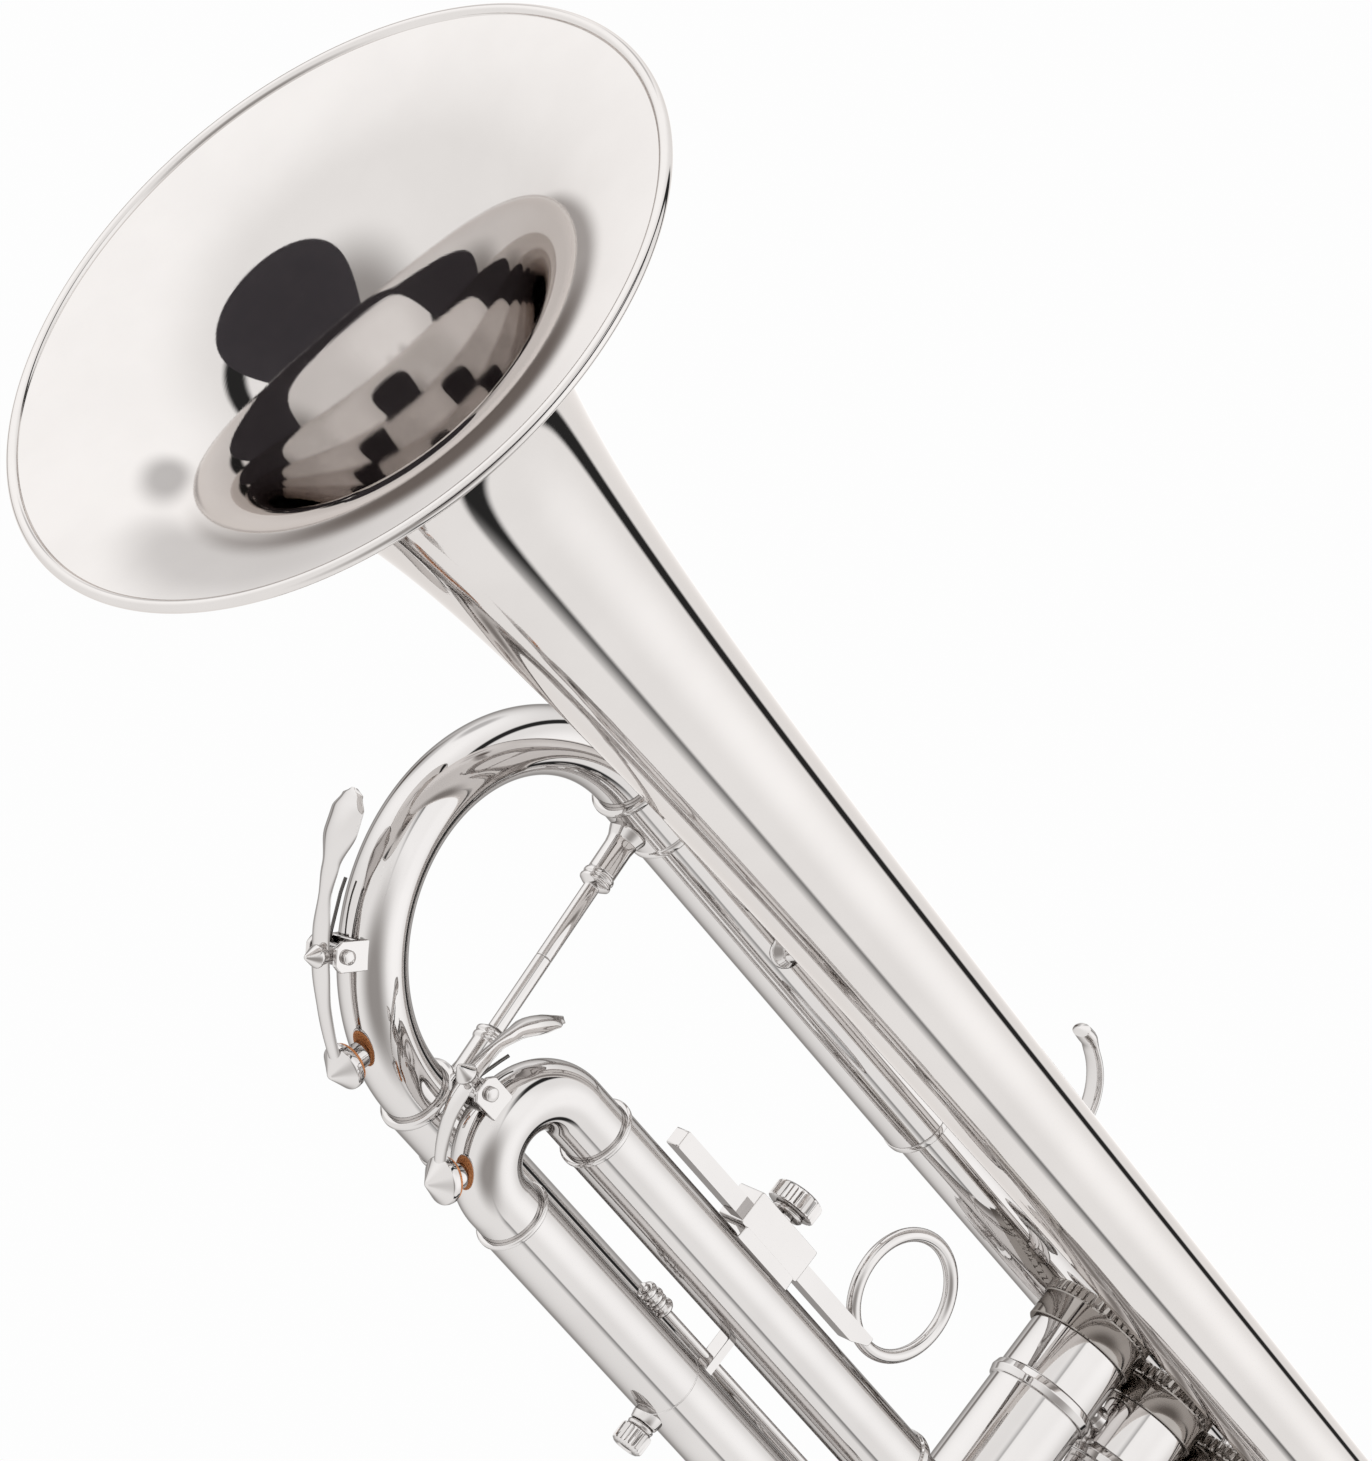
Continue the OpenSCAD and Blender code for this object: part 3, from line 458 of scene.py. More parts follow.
# ---------------------------------------------------------------- water keys
def centre3(a, b, c):
    """Centre of the circle through three points."""
    d = 2 * (a[0] * (b[1] - c[1]) + b[0] * (c[1] - a[1]) + c[0] * (a[1] - b[1]))
    aa, bb, cc = (p[0] ** 2 + p[1] ** 2 for p in (a, b, c))
    return ((aa * (b[1] - c[1]) + bb * (c[1] - a[1]) + cc * (a[1] - b[1])) / d,
            (aa * (c[0] - b[0]) + bb * (a[0] - c[0]) + cc * (b[0] - a[0])) / d)


def water_key(tag, place, bow_r, pin, cup, tip, widths, slide, lever):
    """One water key in its own frame: X runs along the lever to the spoon, Z points away from the bow."""
    start, top = (cup[0], cup[1] + 2.6), (0, pin + 3.2)
    o = centre3(start, top, tip)
    r = math.dist(o, start)
    a0, a1 = (math.atan2(p[1] - o[1], p[0] - o[0]) for p in (start, tip))
    rings = []
    for i in range(97):
        a = a0 + (a1 - a0) * i / 96
        t = o[0] + r * math.cos(a)
        out = Vector((math.cos(a), 0, math.sin(a)))
        centre = Vector((o[0], 0, o[1])) + out * (r - 0.6)
        wide = curve_at(widths, t)
        crown = curve_at(((0, 0.3), (0.45, 0.3), (0.78, 1.0), (1, 0.2)), max(0.0, t / tip[0]))
        ring = []
        for k in range(28):
            b = 2 * PI * k / 28
            y = math.copysign(abs(math.cos(b)) ** 0.75, math.cos(b))
            z = math.copysign(abs(math.sin(b)) ** 0.8, math.sin(b))
            lift = crown * (0.6 - y * y)
            ring.append(centre + Y * (wide * y) + out * (z * 0.5 * (1 - 0.45 * y * y) + lift))
        rings.append(ring)
    s = Shape().grid(rings)
    s.lathe([(0.96, 0), (1.9, 0), (1.9, 3.5), (0.96, 3.5)], (0, -2.95, pin), Y, seg=64)
    s.lathe([(0, pin + 0.9), (1.5, pin + 0.9), (1.35, pin + 3.6), (1.9, pin + 4.0), (2.05, pin + 4.5),
             (1.7, pin + 5.1), (0.35, pin + 6.9), (0, pin + 7.0)], (0, -1.2, 0), Z, ease=0.2, seg=64)
    lean = Matrix.Translation((cup[0], 0, cup[1])) @ Matrix.Rotation(math.radians(cup[2]), 4, "Y")
    bowl = Shape().lathe([(3.75, -0.35), (4.15, -0.35), (4.25, 0.5), (4.15, 1.1), (2.2, 2.6), (0.5, 3.95),
                          (0, 4.1), (0, 1.9), (3.6, 0.6)], ease=0.18, seg=80).moved(lean)
    s.join(bowl)
    s.moved(place).done(tag + "_key_blade", lever, (tag + "_key_lever",))
    Shape().lathe([(0, -1.12), (3.55, -1.12), (3.85, -0.8), (3.8, -0.3), (3.6, 0.5), (0, 0.5)],
                  ease=0.25, seg=64).moved(place @ lean).done(
        tag + "_key_pad", lever, (tag + "_key_cork",), slot="cork")
    saddle = Shape()
    edge = bow_r + BOW_TUBE_R - 1.2
    for side in (-1, 1):
        saddle.slab([(-2.6, edge - 0.6), (2.6, edge - 0.6), (2.7, pin + 1.2), (1.5, pin + 2.4),
                     (-1.5, pin + 2.4), (-2.7, pin + 1.2)], side * 3.5 - 0.5, side * 3.5 + 0.5, ease=0.18)
    saddle.slab([(-2.7, edge - 0.4), (2.7, edge - 0.4), (2.6, bow_r + 6.5), (-2.6, bow_r + 6.5)], -3.9, 3.9,
                ease=0.2)
    seat = Shape().lathe([(1.2, -4.2), (2.3, -4.2), (2.3, -1.3), (2.1, -1.14), (1.3, -1.14)],
                         seg=48).moved(lean)
    saddle.join(seat)
    saddle.moved(place).done(tag + "_key_mount", slide, (tag + "_key_saddle",))
    screw = Shape().lathe([(0, -4.3), (0.9, -4.3), (0.9, 4.3), (0, 4.5)], (0, 0, pin), Y, seg=48)
    screw.lathe([(0, -5.0), (0.55, -5.0), (1.25, -4.8), (1.3, -4.05), (0, -4.05)], (0, 0, pin), Y, ease=0.2,
                seg=48)
    screw.moved(place).done(tag + "_key_pivot", slide, (tag + "_key_screw",))
    under = o[1] + math.sqrt((r - 1.2) ** 2 - (12 * tip[0] / 28 - o[0]) ** 2) - 0.7
    leg = tip[0] * 0.46
    coil = [Vector((1.5 * math.cos(math.radians(a)), 0.95 + 1.65 * (a - 60) / 900,
                    pin + 1.5 * math.sin(math.radians(a)))) for a in range(60, 961, 20)]
    Shape().sweep([(leg, 0.2, under), (leg - 0.8, 0.9, under + 0.1),
                   (leg * 0.5, 0.95, (under + pin + 1.2) / 2 + 0.2)] + coil, 0.32, 12).moved(place).done(
        tag + "_key_coil", lever, (tag + "_key_spring",), slot="spring_steel")
    foot = bow_r + BOW_TUBE_R + 0.35
    Shape().sweep([(0.6, 2.62, pin - 1.6), (2.8, 2.62, foot + 0.9),
                   (leg * 0.75, 2.4, foot + 0.2 - leg * 0.06), (leg * 0.95, 2.0, foot - leg * 0.09)],
                  0.32, 12).moved(place).done(tag + "_key_coil_foot", slide, slot="spring_steel")


pin = BOW_R + BOW_TUBE_R + 3
key_place = MAIN @ Matrix.Rotation(math.radians(-221), 4, "Y") @ Matrix.Rotation(math.radians(90), 4, "Y")
water_key("main", key_place, BOW_R, pin, (-19.4, BOW_R + BOW_TUBE_R - 1.6, -26.6),
          (28, BOW_R + BOW_TUBE_R + 0.6),
          ((-20, 1.5), (-10, 1.8), (-3, 2.3), (4, 2.2), (10, 1.6), (15, 2.2), (21, 4.2), (24.5, 4.1),
           (27, 2.6), (28.1, 0.5)),
          "main_slide", "main_water_key")
third_place = (Matrix.Translation((THIRD_BOW_X, THIRD_Y, THIRD_MID))
               @ Matrix.Rotation(math.radians(-90), 4, "Y"))
water_key("third", third_place, THIRD_BOW_R, THIRD_BOW_R + BOW_TUBE_R + 2.6, (-14.6, 11.9, -49),
          (19.5, 13.5),
          ((-15, 1.5), (-8, 1.8), (-3, 2.3), (4, 2.1), (7.5, 1.7), (11, 2.4), (15, 4.0), (17.3, 3.6),
           (18.9, 2.0), (19.6, 0.5)),
          "third_slide", "third_water_key")

# ---------------------------------------------------------------- third slide
path = ([Vector((THIRD_BOW_X + 8, THIRD_Y, THIRD_UP))]
        + arc((THIRD_BOW_X, THIRD_Y, THIRD_MID), Z, -X, THIRD_BOW_R, 0, 180, 72)
        + [Vector((THIRD_BOW_X + 8, THIRD_Y, THIRD_LOW))])
Shape().sweep(path, BOW_TUBE_R, 64).done("third_bow_tube", "third_slide", ("third_bow",))
s = Shape()
for x0, z, seam in ((THIRD_BOW_X + 7.5, THIRD_UP, 0), (THIRD_BOW_X + 4, THIRD_LOW, 202.0)):
    outline = [(6.06, x0), (6.7, x0), (7.0, x0 + 0.25), (7.02, x0 + 0.8), (6.6, x0 + 1.15)]
    if seam:
        outline += [(6.6, seam), (6.47, seam + 0.06), (6.47, seam + 0.28), (6.6, seam + 0.34)]
    outline += [(6.6, THIRD_END - 2.4), (7.1, THIRD_END - 2.2), (7.3, THIRD_END - 1.2),
                (7.1, THIRD_END - 0.2), (6.15, THIRD_END), (6.15, x0 + 6), (6.06, x0 + 6)]
    s.lathe(outline, (0, THIRD_Y, z), X, ease=0.1)
s.done("third_outer_legs", "third_slide", ("third_outer_tubes",))
s = Shape()
for z in (THIRD_UP, THIRD_LOW):
    elbow = arc((VALVE_X[2] - 9.5, THIRD_Y + 9, z), -Y, X, 9, 0, 95, 38)
    s.sweep([(THIRD_BOW_X + 16, THIRD_Y, z), (200, THIRD_Y, z), (VALVE_X[2] - 20, THIRD_Y, z)] + elbow,
            [6.1] * 32 + [6.1 - 0.58 * k for k in range(10)], 56)
# both elbows stop inside the wall of their casing
for k, v in enumerate(s.verts):
    out = Vector((v.x - VALVE_X[2], v.y - VALVE_Y))
    if out.length < CASING_R - 0.5:
        out *= (CASING_R - 0.5) / out.length
        s.verts[k] = Vector((VALVE_X[2] + out.x, VALVE_Y + out.y, v.z))
s.done("third_inner_legs", "instrument", ("third_inner_tubes",), slot="nickel_silver")
s = Shape().slab([(0, -7.0), (1.9, -7.0), (1.9, 7.0), (0, 7.0)], -0.1, 3.1,
                 Matrix.Translation((207.8, THIRD_Y, THIRD_MID)), ease=0.5)
s.done("third_flat_brace", "third_slide", ("third_brace",))
s = Shape().lathe([(0, 0), (0.7, 0), (0.9, 0.3), (0.9, 86.5), (0, 86.5)], (186, ROD_Y, ROD_Z), X, seg=40)
s.slab([(0, -7.4), (3, -7.4), (3, 7.4), (0, 7.4)], -1.2, 2.4, Matrix.Translation((272, THIRD_Y, THIRD_MID)),
       ease=0.3)
s.done("third_stop_bar", "instrument", ("third_stop_rod",))
s = Shape()
for x in (187.0, 190.2):
    s.lathe([(0.92, 0), (1.35, 0), (1.85, 0.35), (1.9, 0.8), (1.55, 1.15), (1.5, 1.8), (2.0, 2.1),
             (2.1, 2.5), (1.95, 2.9), (0.92, 2.9)], (x, ROD_Y, ROD_Z), X, ease=0.12, seg=48)
s.done("third_stop_nut_pair", "instrument", ("third_stop_nuts",))


def thumbscrew(name, at, axis, body, nodes, r, teeth, neck, shaft, stem):
    """Knurled head with a turned neck on a threaded stem."""
    s = Shape().lathe([(0, 0), (shaft, 0), (shaft, stem + 0.2), (0, stem + 0.2)], at, axis, seg=40)
    up = Vector(axis)
    s.lathe([(0, 0), (neck, 0), (neck + 0.35, 0.35), (neck + 0.2, 0.9), (neck - 0.4, 1.3), (0, 1.3)],
            Vector(at) + up * stem, axis, seg=56)
    s.lathe([(0, 0, 0), (r * 0.82, 0, 0), (r * 0.97, 0.25, 0.3), (r, 0.55, 1), (r, 3.1, 1),
             (r * 0.95, 3.45, 0.3), (r * 0.8, 3.8, 0), (r * 0.55, 3.9, 0), (r * 0.42, 3.6, 0), (0, 3.6, 0)],
            Vector(at) + up * (stem + 1.1), axis, ease=0.0, teeth=teeth, depth=0.42)
    return s.done(name, body, nodes, sharp=35)


thumbscrew("rail_clamp_screw", (201, THIRD_Y, RAIL_Z + RAIL_W + 0.35), Z, "rail_thumbscrew",
           ("rail_screw",), 4.7, 28, 2.8, 1.5, 3.0)
thumbscrew("lyre_clamp_screw", (204, THIRD_Y, THIRD_LOW - THIRD_R - 0.2), -Z, "lyre_thumbscrew",
           ("lyre_screw",), 3.05, 20, 2.2, 1.2, 1.3)
Shape().lathe([(1.3, 5.5), (2.9, 5.5), (2.75, 6.9), (2.55, 7.8), (2.3, 8.0), (1.3, 8.0)],
              (204, THIRD_Y, THIRD_LOW), -Z, seg=64).done("lyre_socket", "third_slide", ("lyre_boss",))

# holder: a square sleeve on a saddle foot
lo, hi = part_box("rail_holder")
lo, hi = lo / MM, hi / MM
s = Shape().slab([(lo.x, RAIL_Z - 0.9), (hi.x, RAIL_Z - 0.9), (hi.x, RAIL_Z + RAIL_W + 2.3),
                  (lo.x, RAIL_Z + RAIL_W + 2.3)],
                 THIRD_Y - 3.2, THIRD_Y + 3.2, ease=0.3)
s.slab([(lo.x + 1, THIRD_UP + 5.2), (hi.x - 1, THIRD_UP + 5.2), (hi.x - 1.3, RAIL_Z - 0.7),
        (lo.x + 1.3, RAIL_Z - 0.7)], THIRD_Y - 3.7, THIRD_Y + 3.7, ease=0.3)
s.done("rail_sleeve", "third_slide", ("rail_holder",))
s = Shape().slab([(170.5, RAIL_Z), (229.5, RAIL_Z), (233.6, RAIL_Z + 1.8), (233.6, RAIL_Z + RAIL_W),
                  (170.5, RAIL_Z + RAIL_W)],
                 THIRD_Y - RAIL_W / 2, THIRD_Y + RAIL_W / 2, ease=0.22)
s.sweep(arc((234.3, THIRD_Y, RAIL_Z + 13.1), X, Z, 11.1, 0, 360, 96)[:-1], 1.3, 28, closed=True)
s.done("finger_ring_rail", "finger_ring", ("ring_rail",))

# ---------------------------------------------------------------- valves
for i, name in enumerate(("casing_1", "casing_2", "casing_3")):
    s = Shape().lathe([(8.78, CASING_LOW), (9.5, CASING_LOW), (9.5, CASING_LOW + 6), (9.8, CASING_LOW + 6),
                       (9.8, -26.1), (10.3, -25.9), (10.65, -24.6), (10.3, -23.3), (9.8, -23.1),
                       (9.8, CASING_TOP - 6), (9.5, CASING_TOP - 6), (9.5, CASING_TOP), (8.78, CASING_TOP)],
                      (VALVE_X[i], VALVE_Y, 0), Z, ease=0.15)
    s.done("valve_barrel_%d" % (i + 1), "instrument", (name,))
s = Shape()
for x, z in ((VALVE_X[2], -48), (VALVE_X[1], -40)):
    s.lathe([(5.6, 9.4), (6.1, 9.4), (6.1, 14.4), (5.6, 14.4)], (x, VALVE_Y, z), X, seg=64)
for x in VALVE_X[1:]:
    for z in (CASING_LOW + 14, -19):
        s.lathe([(0, 9.4), (2.6, 9.4), (2.0, 10.4), (2.0, 13.4), (2.6, 14.4), (0, 14.4)], (x, VALVE_Y, z),
                X, seg=48)
s.done("valve_bridges", "instrument", ("knuckles",))
s, b = Shape(), Shape()
for x in VALVE_X:
    s.lathe([(9.52, -6, 0), (10.5, -6, 0), (10.7, -5.8, 0), (10.7, -1.0, 0), (10.95, -0.8, 0),
             (11.1, -0.5, 1), (11.1, 1.2, 1), (10.9, 1.5, 0), (10.3, 1.6, 0), (8.6, 2.2, 0), (6.5, 2.7, 0),
             (5.0, 2.8, 0), (3.1, 2.8, 0), (3.1, 0.05, 0), (9.52, 0.05, 0)], (x, VALVE_Y, CASING_TOP), Z,
             ease=0.0, teeth=44, depth=0.5)
    b.lathe([(9.52, -6, 0), (10.7, -6, 0), (10.7, 0.0, 0), (10.95, 0.15, 0), (11.1, 0.3, 1), (11.1, 2.2, 1),
             (10.9, 2.4, 0), (10.3, 2.5, 0), (9.0, 3.4, 0), (6.0, 4.5, 0), (3.4, 5.0, 0), (2.7, 5.2, 0),
             (2.6, 6.2, 0), (2.2, 6.5, 0), (1.2, 6.5, 0), (1.2, 1.4, 0), (7.5, 1.4, 0), (7.5, 0.05, 0),
             (9.52, 0.05, 0)],
            (x, VALVE_Y, CASING_LOW), -Z, ease=0.0, teeth=44, depth=0.5)
# the top caps take the darkened plate as painted shade
s.done("valve_top_caps", "instrument", ("top_caps",), look=SHADED_CAP_PLATE, sharp=35)
b.done("valve_bottom_caps", "instrument", ("bottom_caps",), sharp=35)
for i in (1, 2, 3):
    at, base = (VALVE_X[i - 1], VALVE_Y, 0), CASING_TOP - 3.8
    top = base + TRAVEL + 6.8
    s = Shape().lathe([(0, base), (2, base), (2, base + 2.4), (2.9, base + 2.4), (2.9, top - 0.05),
                       (5.5, top), (7.5, top + 0.8), (7.8, top + 1.4), (7.8, top + 2.5), (7.55, top + 2.8),
                       (6.9, top + 2.8), (6.6, top + 2.3), (0, top + 2.3)], at, Z, ease=0.18)
    s.done("button_%d" % i, "valve_%d" % i, ("stem_%d" % i,))
    Shape().lathe([(0, top + 2.1), (6.58, top + 2.1), (6.58, top + 2.4), (5.2, top + 2.6), (0, top + 2.65)],
                  at, Z, ease=0.1).done("button_inlay_%d" % i, "valve_%d" % i, slot="nylon", look=PEARL)
    felt = Shape().lathe([(2.95, top - 2.1), (5.2, top - 2.0), (5.5, top - 1.1), (5.2, top - 0.2),
                          (2.95, top - 0.05)], at, Z, ease=0.5).done(
        "button_felt_%d" % i, "valve_%d" % i, slot="felt")
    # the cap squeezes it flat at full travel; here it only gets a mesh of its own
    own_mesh(felt)

# ---------------------------------------------------------------- first and second slides
s = Shape()
for z in FIRST_Z:
    s.lathe(x_tube(VALVE_X[0] + CASING_R, 372, 6.5, 0.45), (0, FIRST_Y, z), X)
# the ends by the casing are cut to its round wall
for v in s.verts:
    if v.x < VALVE_X[0] + CASING_R + 1:
        v.x -= CASING_R - math.sqrt((CASING_R - 0.4) ** 2 - (v.y - VALVE_Y) ** 2)
s.done("first_outer_pair", "instrument", ("first_outer_tubes",))
mid = sum(FIRST_Z) / 2
s = Shape()
for z in FIRST_Z:
    s.lathe([(5.6, VALVE_X[0] + 16), (6.0, VALVE_X[0] + 16), (6.0, 372.2), (6.65, 372.2), (6.72, 372.8),
             (6.5, 373.4), (6.5, 379), (6.65, 379.3), (6.65, 380), (6.0, 380.1), (5.6, 380.1)],
            (0, FIRST_Y, z), X, ease=0.1)
s.sweep([(378, FIRST_Y, FIRST_Z[0])] + arc((380, FIRST_Y, mid), Z, X, 11.5, 0, 180, 48)
        + [(378, FIRST_Y, FIRST_Z[1])], 6.0, 56)
s.done("first_slide_loop", "first_slide_body", ("first_slide",))
rings = []
for i in range(33):
    a = math.radians(-100 + 200 * i / 32 - 90)
    out = Vector((0, math.cos(a), math.sin(a)))
    c = Vector((376, FIRST_Y, FIRST_Z[0] + 14.7)) + out * 7.4
    edge = min(1.0, math.sin(PI * min(1, max(0.02, i / 32))) * 2.2) ** 0.6
    rings.append([c + X * (3.1 * edge * math.cos(2 * PI * k / 24))
                  + out * (0.6 * math.sin(2 * PI * k / 24)) for k in range(24)])
s = Shape().grid(rings)
s.done("thumb_rest", "first_slide_body", ("thumb_saddle",))
s = Shape()
for z in SECOND_Z:
    s.lathe(x_tube(9.0, 41 - VALVE_Y, 6.5, 0.45), (VALVE_X[1], VALVE_Y, z), Y)
s.done("second_outer_pair", "instrument", ("second_outer_tubes",))
mid = sum(SECOND_Z) / 2
s = Shape()
for z in SECOND_Z:
    s.lathe([(5.6, 31), (6.0, 31), (6.0, 41.2), (6.9, 41.2), (7.0, 41.7), (6.7, 42.2), (6.7, 44.4),
             (6.9, 44.7), (6.0, 45.1), (5.6, 45.1)],
            (VALVE_X[1], 0, z), Y, ease=0.1)
s.sweep([(VALVE_X[1], 43, SECOND_Z[0])] + arc((VALVE_X[1], 45, mid), Z, Y, 11, 0, 180, 48)
        + [(VALVE_X[1], 43, SECOND_Z[1])], 6.0, 56, side=(1, 0, 0))
s.done("second_slide_loop", "second_slide_body", ("second_slide",))
Shape().lathe([(0, 0), (2.4, 0), (1.5, 1.4), (1.4, 3.6), (2.6, 4.4), (3.2, 5.4), (3.2, 6.6), (2.6, 7.2),
               (0, 7.4)], (VALVE_X[1], 61.8, mid), Y, ease=0.3, seg=64).done(
    "second_pull_knob", "second_slide_body", ("second_knob",))

# ---------------------------------------------------------------- braces and hook
s = Shape()
strut = Vector((0, LEAD_Y, LEAD_Z)).normalized()
lead_reach = 37.36  # from the bell's axis to the leadpipe's
for x, far in ((184, OUTER_R), (362, 5.5)):
    near, end = bell_r(x), lead_reach - far
    s.lathe([(0, near - 1.2), (4.6, near - 1.2), (4.2, near - 0.1), (2.6, near + 1.2), (1.6, near + 3.4),
             (1.45, near + 6), (1.45, end - 6), (1.6, end - 3.4), (2.4, end - 1.2), (3.8, end - 0.1),
             (4.0, end + 0.8), (0, end + 0.8)],
            (x, 0, 0), strut, ease=0.3, seg=64)
s.done("bell_strut_pair", "instrument", ("bell_braces",))
centre = Vector((258.5, LEAD_Y, LEAD_Z + 21.7))
rings = []
for i in range(57):
    k = i / 56
    a = math.radians(-92 + 190 * k)
    out = Vector((math.cos(a), 0, math.sin(a)))
    wide = curve_at(((0, 2.4), (0.3, 2.2), (0.9, 2.2), (0.94, 2.5), (0.98, 2.3), (0.995, 1.6),
                     (1.0, 0.3)), k)
    thick = curve_at(((0, 1.1), (0.4, 0.95), (0.88, 0.9), (0.94, 1.45), (0.98, 1.4), (0.995, 0.9),
                      (1.0, 0.2)), k)
    c = centre + out * (12.8 + curve_at(((0, 0), (0.85, 0), (0.94, 0.5), (1.0, 0.5)), k))
    rings.append([c + Y * (wide * math.cos(2 * PI * j / 28)) + out * (thick * math.sin(2 * PI * j / 28))
                  for j in range(28)])
s = Shape().grid(rings)
s.sweep([(248.8, LEAD_Y, LEAD_Z + 5.9), (251, LEAD_Y, LEAD_Z + 6.4), (256, LEAD_Y, LEAD_Z + 7.4),
         (262, LEAD_Y, LEAD_Z + 7.4), (267, LEAD_Y, LEAD_Z + 6.3), (270, LEAD_Y, LEAD_Z + 5.6)],
        [0.8, 2.0, 2.5, 2.5, 2.0, 0.8], 32, flat=0.7)
s.done("little_finger_hook", "instrument", ("pinky_hook",))

# ---------------------------------------------------------------- CAD parts that stay as they are
KEPT = {"cap_felts": FELT, "valve_guides": NYLON, "piston_1": MONEL, "piston_2": MONEL, "piston_3": MONEL,
        "spring_1": STEEL, "spring_2": STEEL, "spring_3": STEEL}
for name, look in KEPT.items():
    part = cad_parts[name]
    part.data.materials.clear()
    part.data.materials.append(look)

# ---------------------------------------------------------------- studio
world = bpy.data.worlds.new("studio")
bpy.context.scene.world = world
world.use_nodes = True
world.node_tree.nodes.clear()
n = Nodes(world.node_tree)
ray = n.add("ShaderNodeNewGeometry").outputs["Incoming"]
seen = n.add("ShaderNodeVectorTransform", {"Vector": ray}, vector_type="VECTOR", convert_from="WORLD",
             convert_to="CAMERA")


def dot(v, w):
    node = n.add("ShaderNodeVectorMath", operation="DOT_PRODUCT")
    n.set(node.inputs[0], v)
    n.set(node.inputs[1], tuple(w))
    return node.outputs["Value"]


# the tent around the instrument, in camera space: x right, y up, z away from the lens
direction = n.add("ShaderNodeVectorMath", {0: seen.outputs[0]}, operation="SCALE")
direction.inputs["Scale"].default_value = -1.0
direction = direction.outputs[0]


def heading(turn, off):
    """Unit vector `off` degrees away from the view axis, turned `turn` degrees from image right."""
    t, o = math.radians(turn), math.radians(off)
    return Vector((math.sin(o) * math.cos(t), math.sin(o) * math.sin(t), math.cos(o)))


def patch(turn, off, full, edge, strength=1.0):
    """Soft round patch of the tent: `full` degrees at full strength, gone at `edge` degrees."""
    angle = n.math("ARCCOSINE", dot(direction, heading(turn, off)))
    return n.smooth(angle, math.radians(full), math.radians(edge), strength, 0.0)


env = (0.80, 0.795, 0.79, 1)
for turn, off, full, edge, strength, colour in (
        (110, 80, 20, 62, 0.85, (1.0, 1.0, 1.0, 1)),          # top panel
        (15, 140, 8, 38, 0.8, (0.97, 0.97, 0.97, 1)),         # lamp beside the lens
        (120, 56, 4, 13, 0.45, (0.30, 0.29, 0.29, 1)),        # seams of the tent, upper left
        (95, 64, 4, 13, 0.65, (0.30, 0.29, 0.29, 1)),
        (131, 44, 3, 9, 0.95, (0.07, 0.05, 0.04, 1)),
        (-80, 148, 10, 50, 0.9, (0.24, 0.225, 0.215, 1))):  # open front below the lens
    env = n.mix(patch(turn, off, full, edge, strength), env, colour)
# right-hand panel with a straight lower edge
panel = n.math("MULTIPLY", patch(-8, 100, 10, 40, 0.95),
               n.smooth(dot(direction, (0.731, 0.682, 0)), 0.0, 0.03, 0.12, 1.0))
env = n.mix(panel, env, (0.98, 0.98, 0.98, 1))
backdrop = n.math("MULTIPLY", patch(0, 0, 4, 44, 0.85),
                  n.smooth(dot(direction, (1, 0, 0)), -0.05, 0.15, 0.25, 1.0))
env = n.mix(backdrop, env, (1.0, 1.0, 1.0, 1))
# dark edge of the backdrop on the upper left
angle = n.math("ARCCOSINE", dot(direction, (0, 0, 1)))
rim = n.math("MULTIPLY", n.smooth(angle, math.radians(38), math.radians(43)),
             n.smooth(angle, math.radians(47), math.radians(54), 1.0, 0.0))
rim = n.math("MULTIPLY", rim, n.smooth(dot(direction, (0, 1, 0)), -0.1, 0.15))
left = n.smooth(dot(direction, (-1, 0, 0)), 0.1, 0.4, 0.0, 0.7)
env = n.mix(n.math("MULTIPLY", rim, left), env, (0.16, 0.14, 0.13, 1))
# dark gap between the backdrop and the right-hand wall
angle = n.math("ARCCOSINE", dot(direction, heading(-11.5, 111.25)))
gap = n.math("MULTIPLY", n.smooth(angle, math.radians(53), math.radians(57)),
             n.smooth(angle, math.radians(64), math.radians(68), 1.0, 0.0))
side = n.smooth(dot(direction, (1, 0, 0)), 0.18, 0.46)
env = n.mix(n.math("MULTIPLY", gap, side), env, (0.02, 0.02, 0.02, 1))
path = n.add("ShaderNodeLightPath").outputs["Is Camera Ray"]
env = n.mix(path, env, (0.985, 0.985, 0.985, 1))
sky = n.add("ShaderNodeBackground", {"Color": env, "Strength": n.math("MULTIPLY_ADD", path, -0.34, 1.34)})
out = n.add("ShaderNodeOutputWorld")
world.node_tree.links.new(sky.outputs[0], out.inputs[0])

# the camera's axes: image right, image down and into the picture
right = Vector((0.50626, -0.62499, 0.59422))
down = Vector((0.60452, -0.23422, -0.76138))
forward = Vector((0.61503, 0.74467, 0.25924))
# black card by the bell mouth, as far away as it is wide, seen only in reflections: painted shade that
# stands in for the dark throat deep inside the bell
card_r = 0.13
facing = heading(34, 155)
facing = (right * facing.x - down * facing.y + forward * facing.z).normalized()
side, over = facing.orthogonal().normalized(), facing.cross(facing.orthogonal()).normalized()
mesh = bpy.data.meshes.new("shade_card")
mesh.from_pydata([facing * card_r + (side * math.cos(2 * PI * k / 96)
                                     + over * math.sin(2 * PI * k / 96)) * card_r
                  for k in range(96)], [], [tuple(range(96))])
shade_card = bpy.data.objects.new("shade_card", mesh)
bpy.context.scene.collection.objects.link(shade_card)
# near-black colour of the card: painted shade of the bell's throat
m, n2, shader, where = material("throat_painted_shade")
n2.set(shader.inputs["Base Color"], n2.mix(n2.noise(where, 30.0).outputs["Fac"], (0.03, 0.026, 0.032, 1),
                                           (0.04, 0.034, 0.04, 1)))
n2.set(shader.inputs["Roughness"], 0.9)
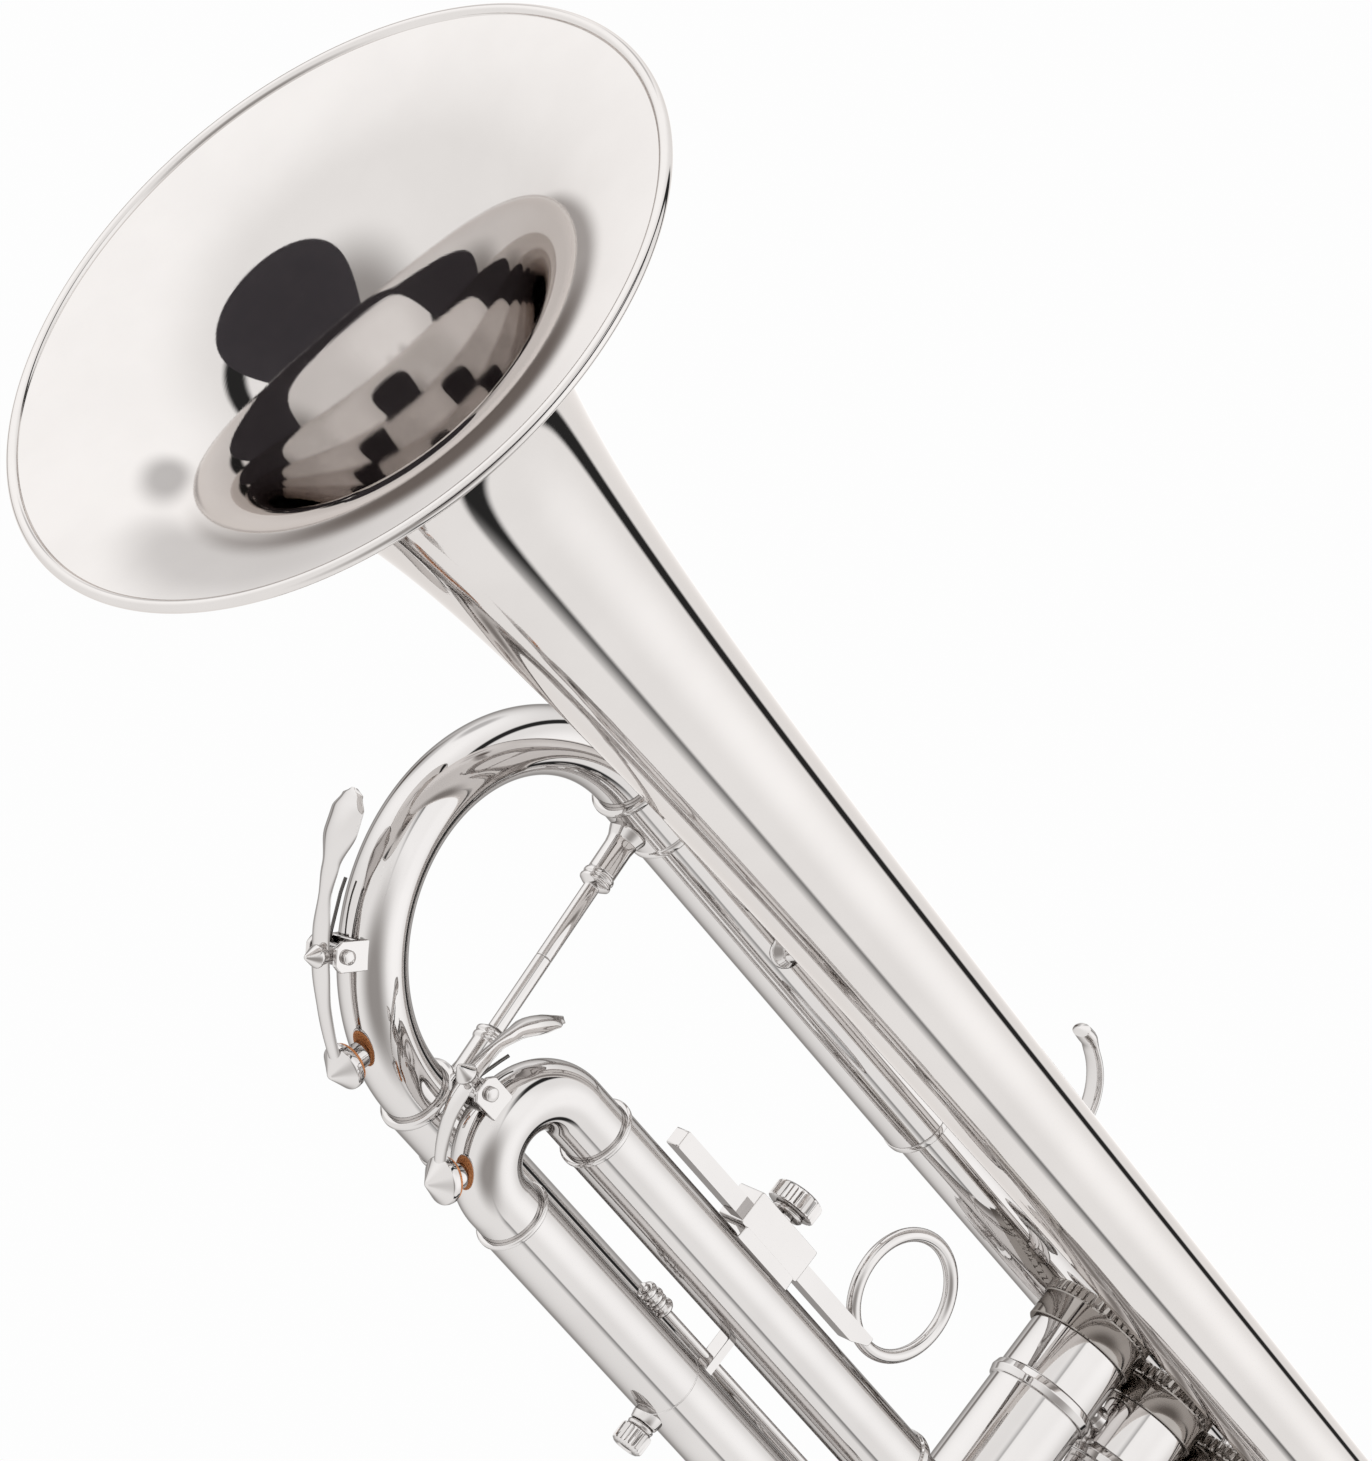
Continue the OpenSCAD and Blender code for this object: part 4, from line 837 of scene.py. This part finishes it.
# only rays from the throat meet the card, judged by where each crosses a plane across the mouth, so the
# painted shade lands only in the throat
place = n2.add("ShaderNodeNewGeometry").outputs
mouth, throat_edge = 0.012, 0.037
ends = [n2.add("ShaderNodeSeparateXYZ", {0: place[k]}).outputs[0] for k in ("Position", "Incoming")]
reach = n2.math("DIVIDE", n2.math("SUBTRACT", mouth, ends[0]), ends[1])
spot = n2.add("ShaderNodeVectorMath", {0: place["Incoming"], 1: reach, 2: place["Position"]},
              operation="MULTIPLY_ADD").outputs[0]
spot = n2.add("ShaderNodeVectorMath", {0: spot, 1: (0, 1, 1)}, operation="MULTIPLY").outputs[0]
apart = n2.add("ShaderNodeVectorMath", {0: spot}, operation="LENGTH").outputs["Value"]
n2.veil(shader, n2.smooth(apart, throat_edge, throat_edge + 0.004, 1.0, 0.0))
mesh.materials.append(m)
shade_card.visible_camera = shade_card.visible_diffuse = shade_card.visible_shadow = False

# pale floor under the instrument, seen only from above
low_point = cad_bounds[0].z
size = 1.6
mesh = bpy.data.meshes.new("floor")
mesh.from_pydata([(0.24 + size * math.cos(2 * PI * k / 96), size * math.sin(2 * PI * k / 96),
                   low_point - 0.0005)
                  for k in range(96)], [], [tuple(range(96))])
floor = bpy.data.objects.new("floor", mesh)
bpy.context.scene.collection.objects.link(floor)
m, n2, shader, where = material("floor_paper")
tone = n2.noise(where, 6.0, 3.0).outputs["Fac"]
n2.set(shader.inputs["Base Color"], n2.mix(tone, (0.86, 0.86, 0.855, 1), (0.90, 0.90, 0.895, 1)))
n2.set(shader.inputs["Roughness"], 0.85)
show = n2.math("MULTIPLY", n2.add("ShaderNodeLightPath").outputs["Is Camera Ray"],
               n2.math("SUBTRACT", 1.0, n2.add("ShaderNodeNewGeometry").outputs["Backfacing"]))
n2.veil(shader, show)
mesh.materials.append(m)

# ---------------------------------------------------------------- camera
cam = bpy.data.cameras.new("camera")
cam.sensor_fit = "AUTO"
cam.sensor_width = 36.0
cam.lens = 209.75
cam.shift_x, cam.shift_y = -0.01622, -0.00823
cam.clip_start, cam.clip_end = 0.05, 20.0
eye = bpy.data.objects.new("camera", cam)
pose = Matrix((right, -down, -forward)).transposed().to_4x4()
pose.translation = Vector((-0.75840, -1.05486, -0.36380))
eye.matrix_world = pose
bpy.context.scene.collection.objects.link(eye)
bpy.context.scene.camera = eye
bpy.context.scene.view_settings.view_transform = "Standard"
bpy.context.scene.cycles.glossy_bounces = 7

bpy.context.view_layer.update()
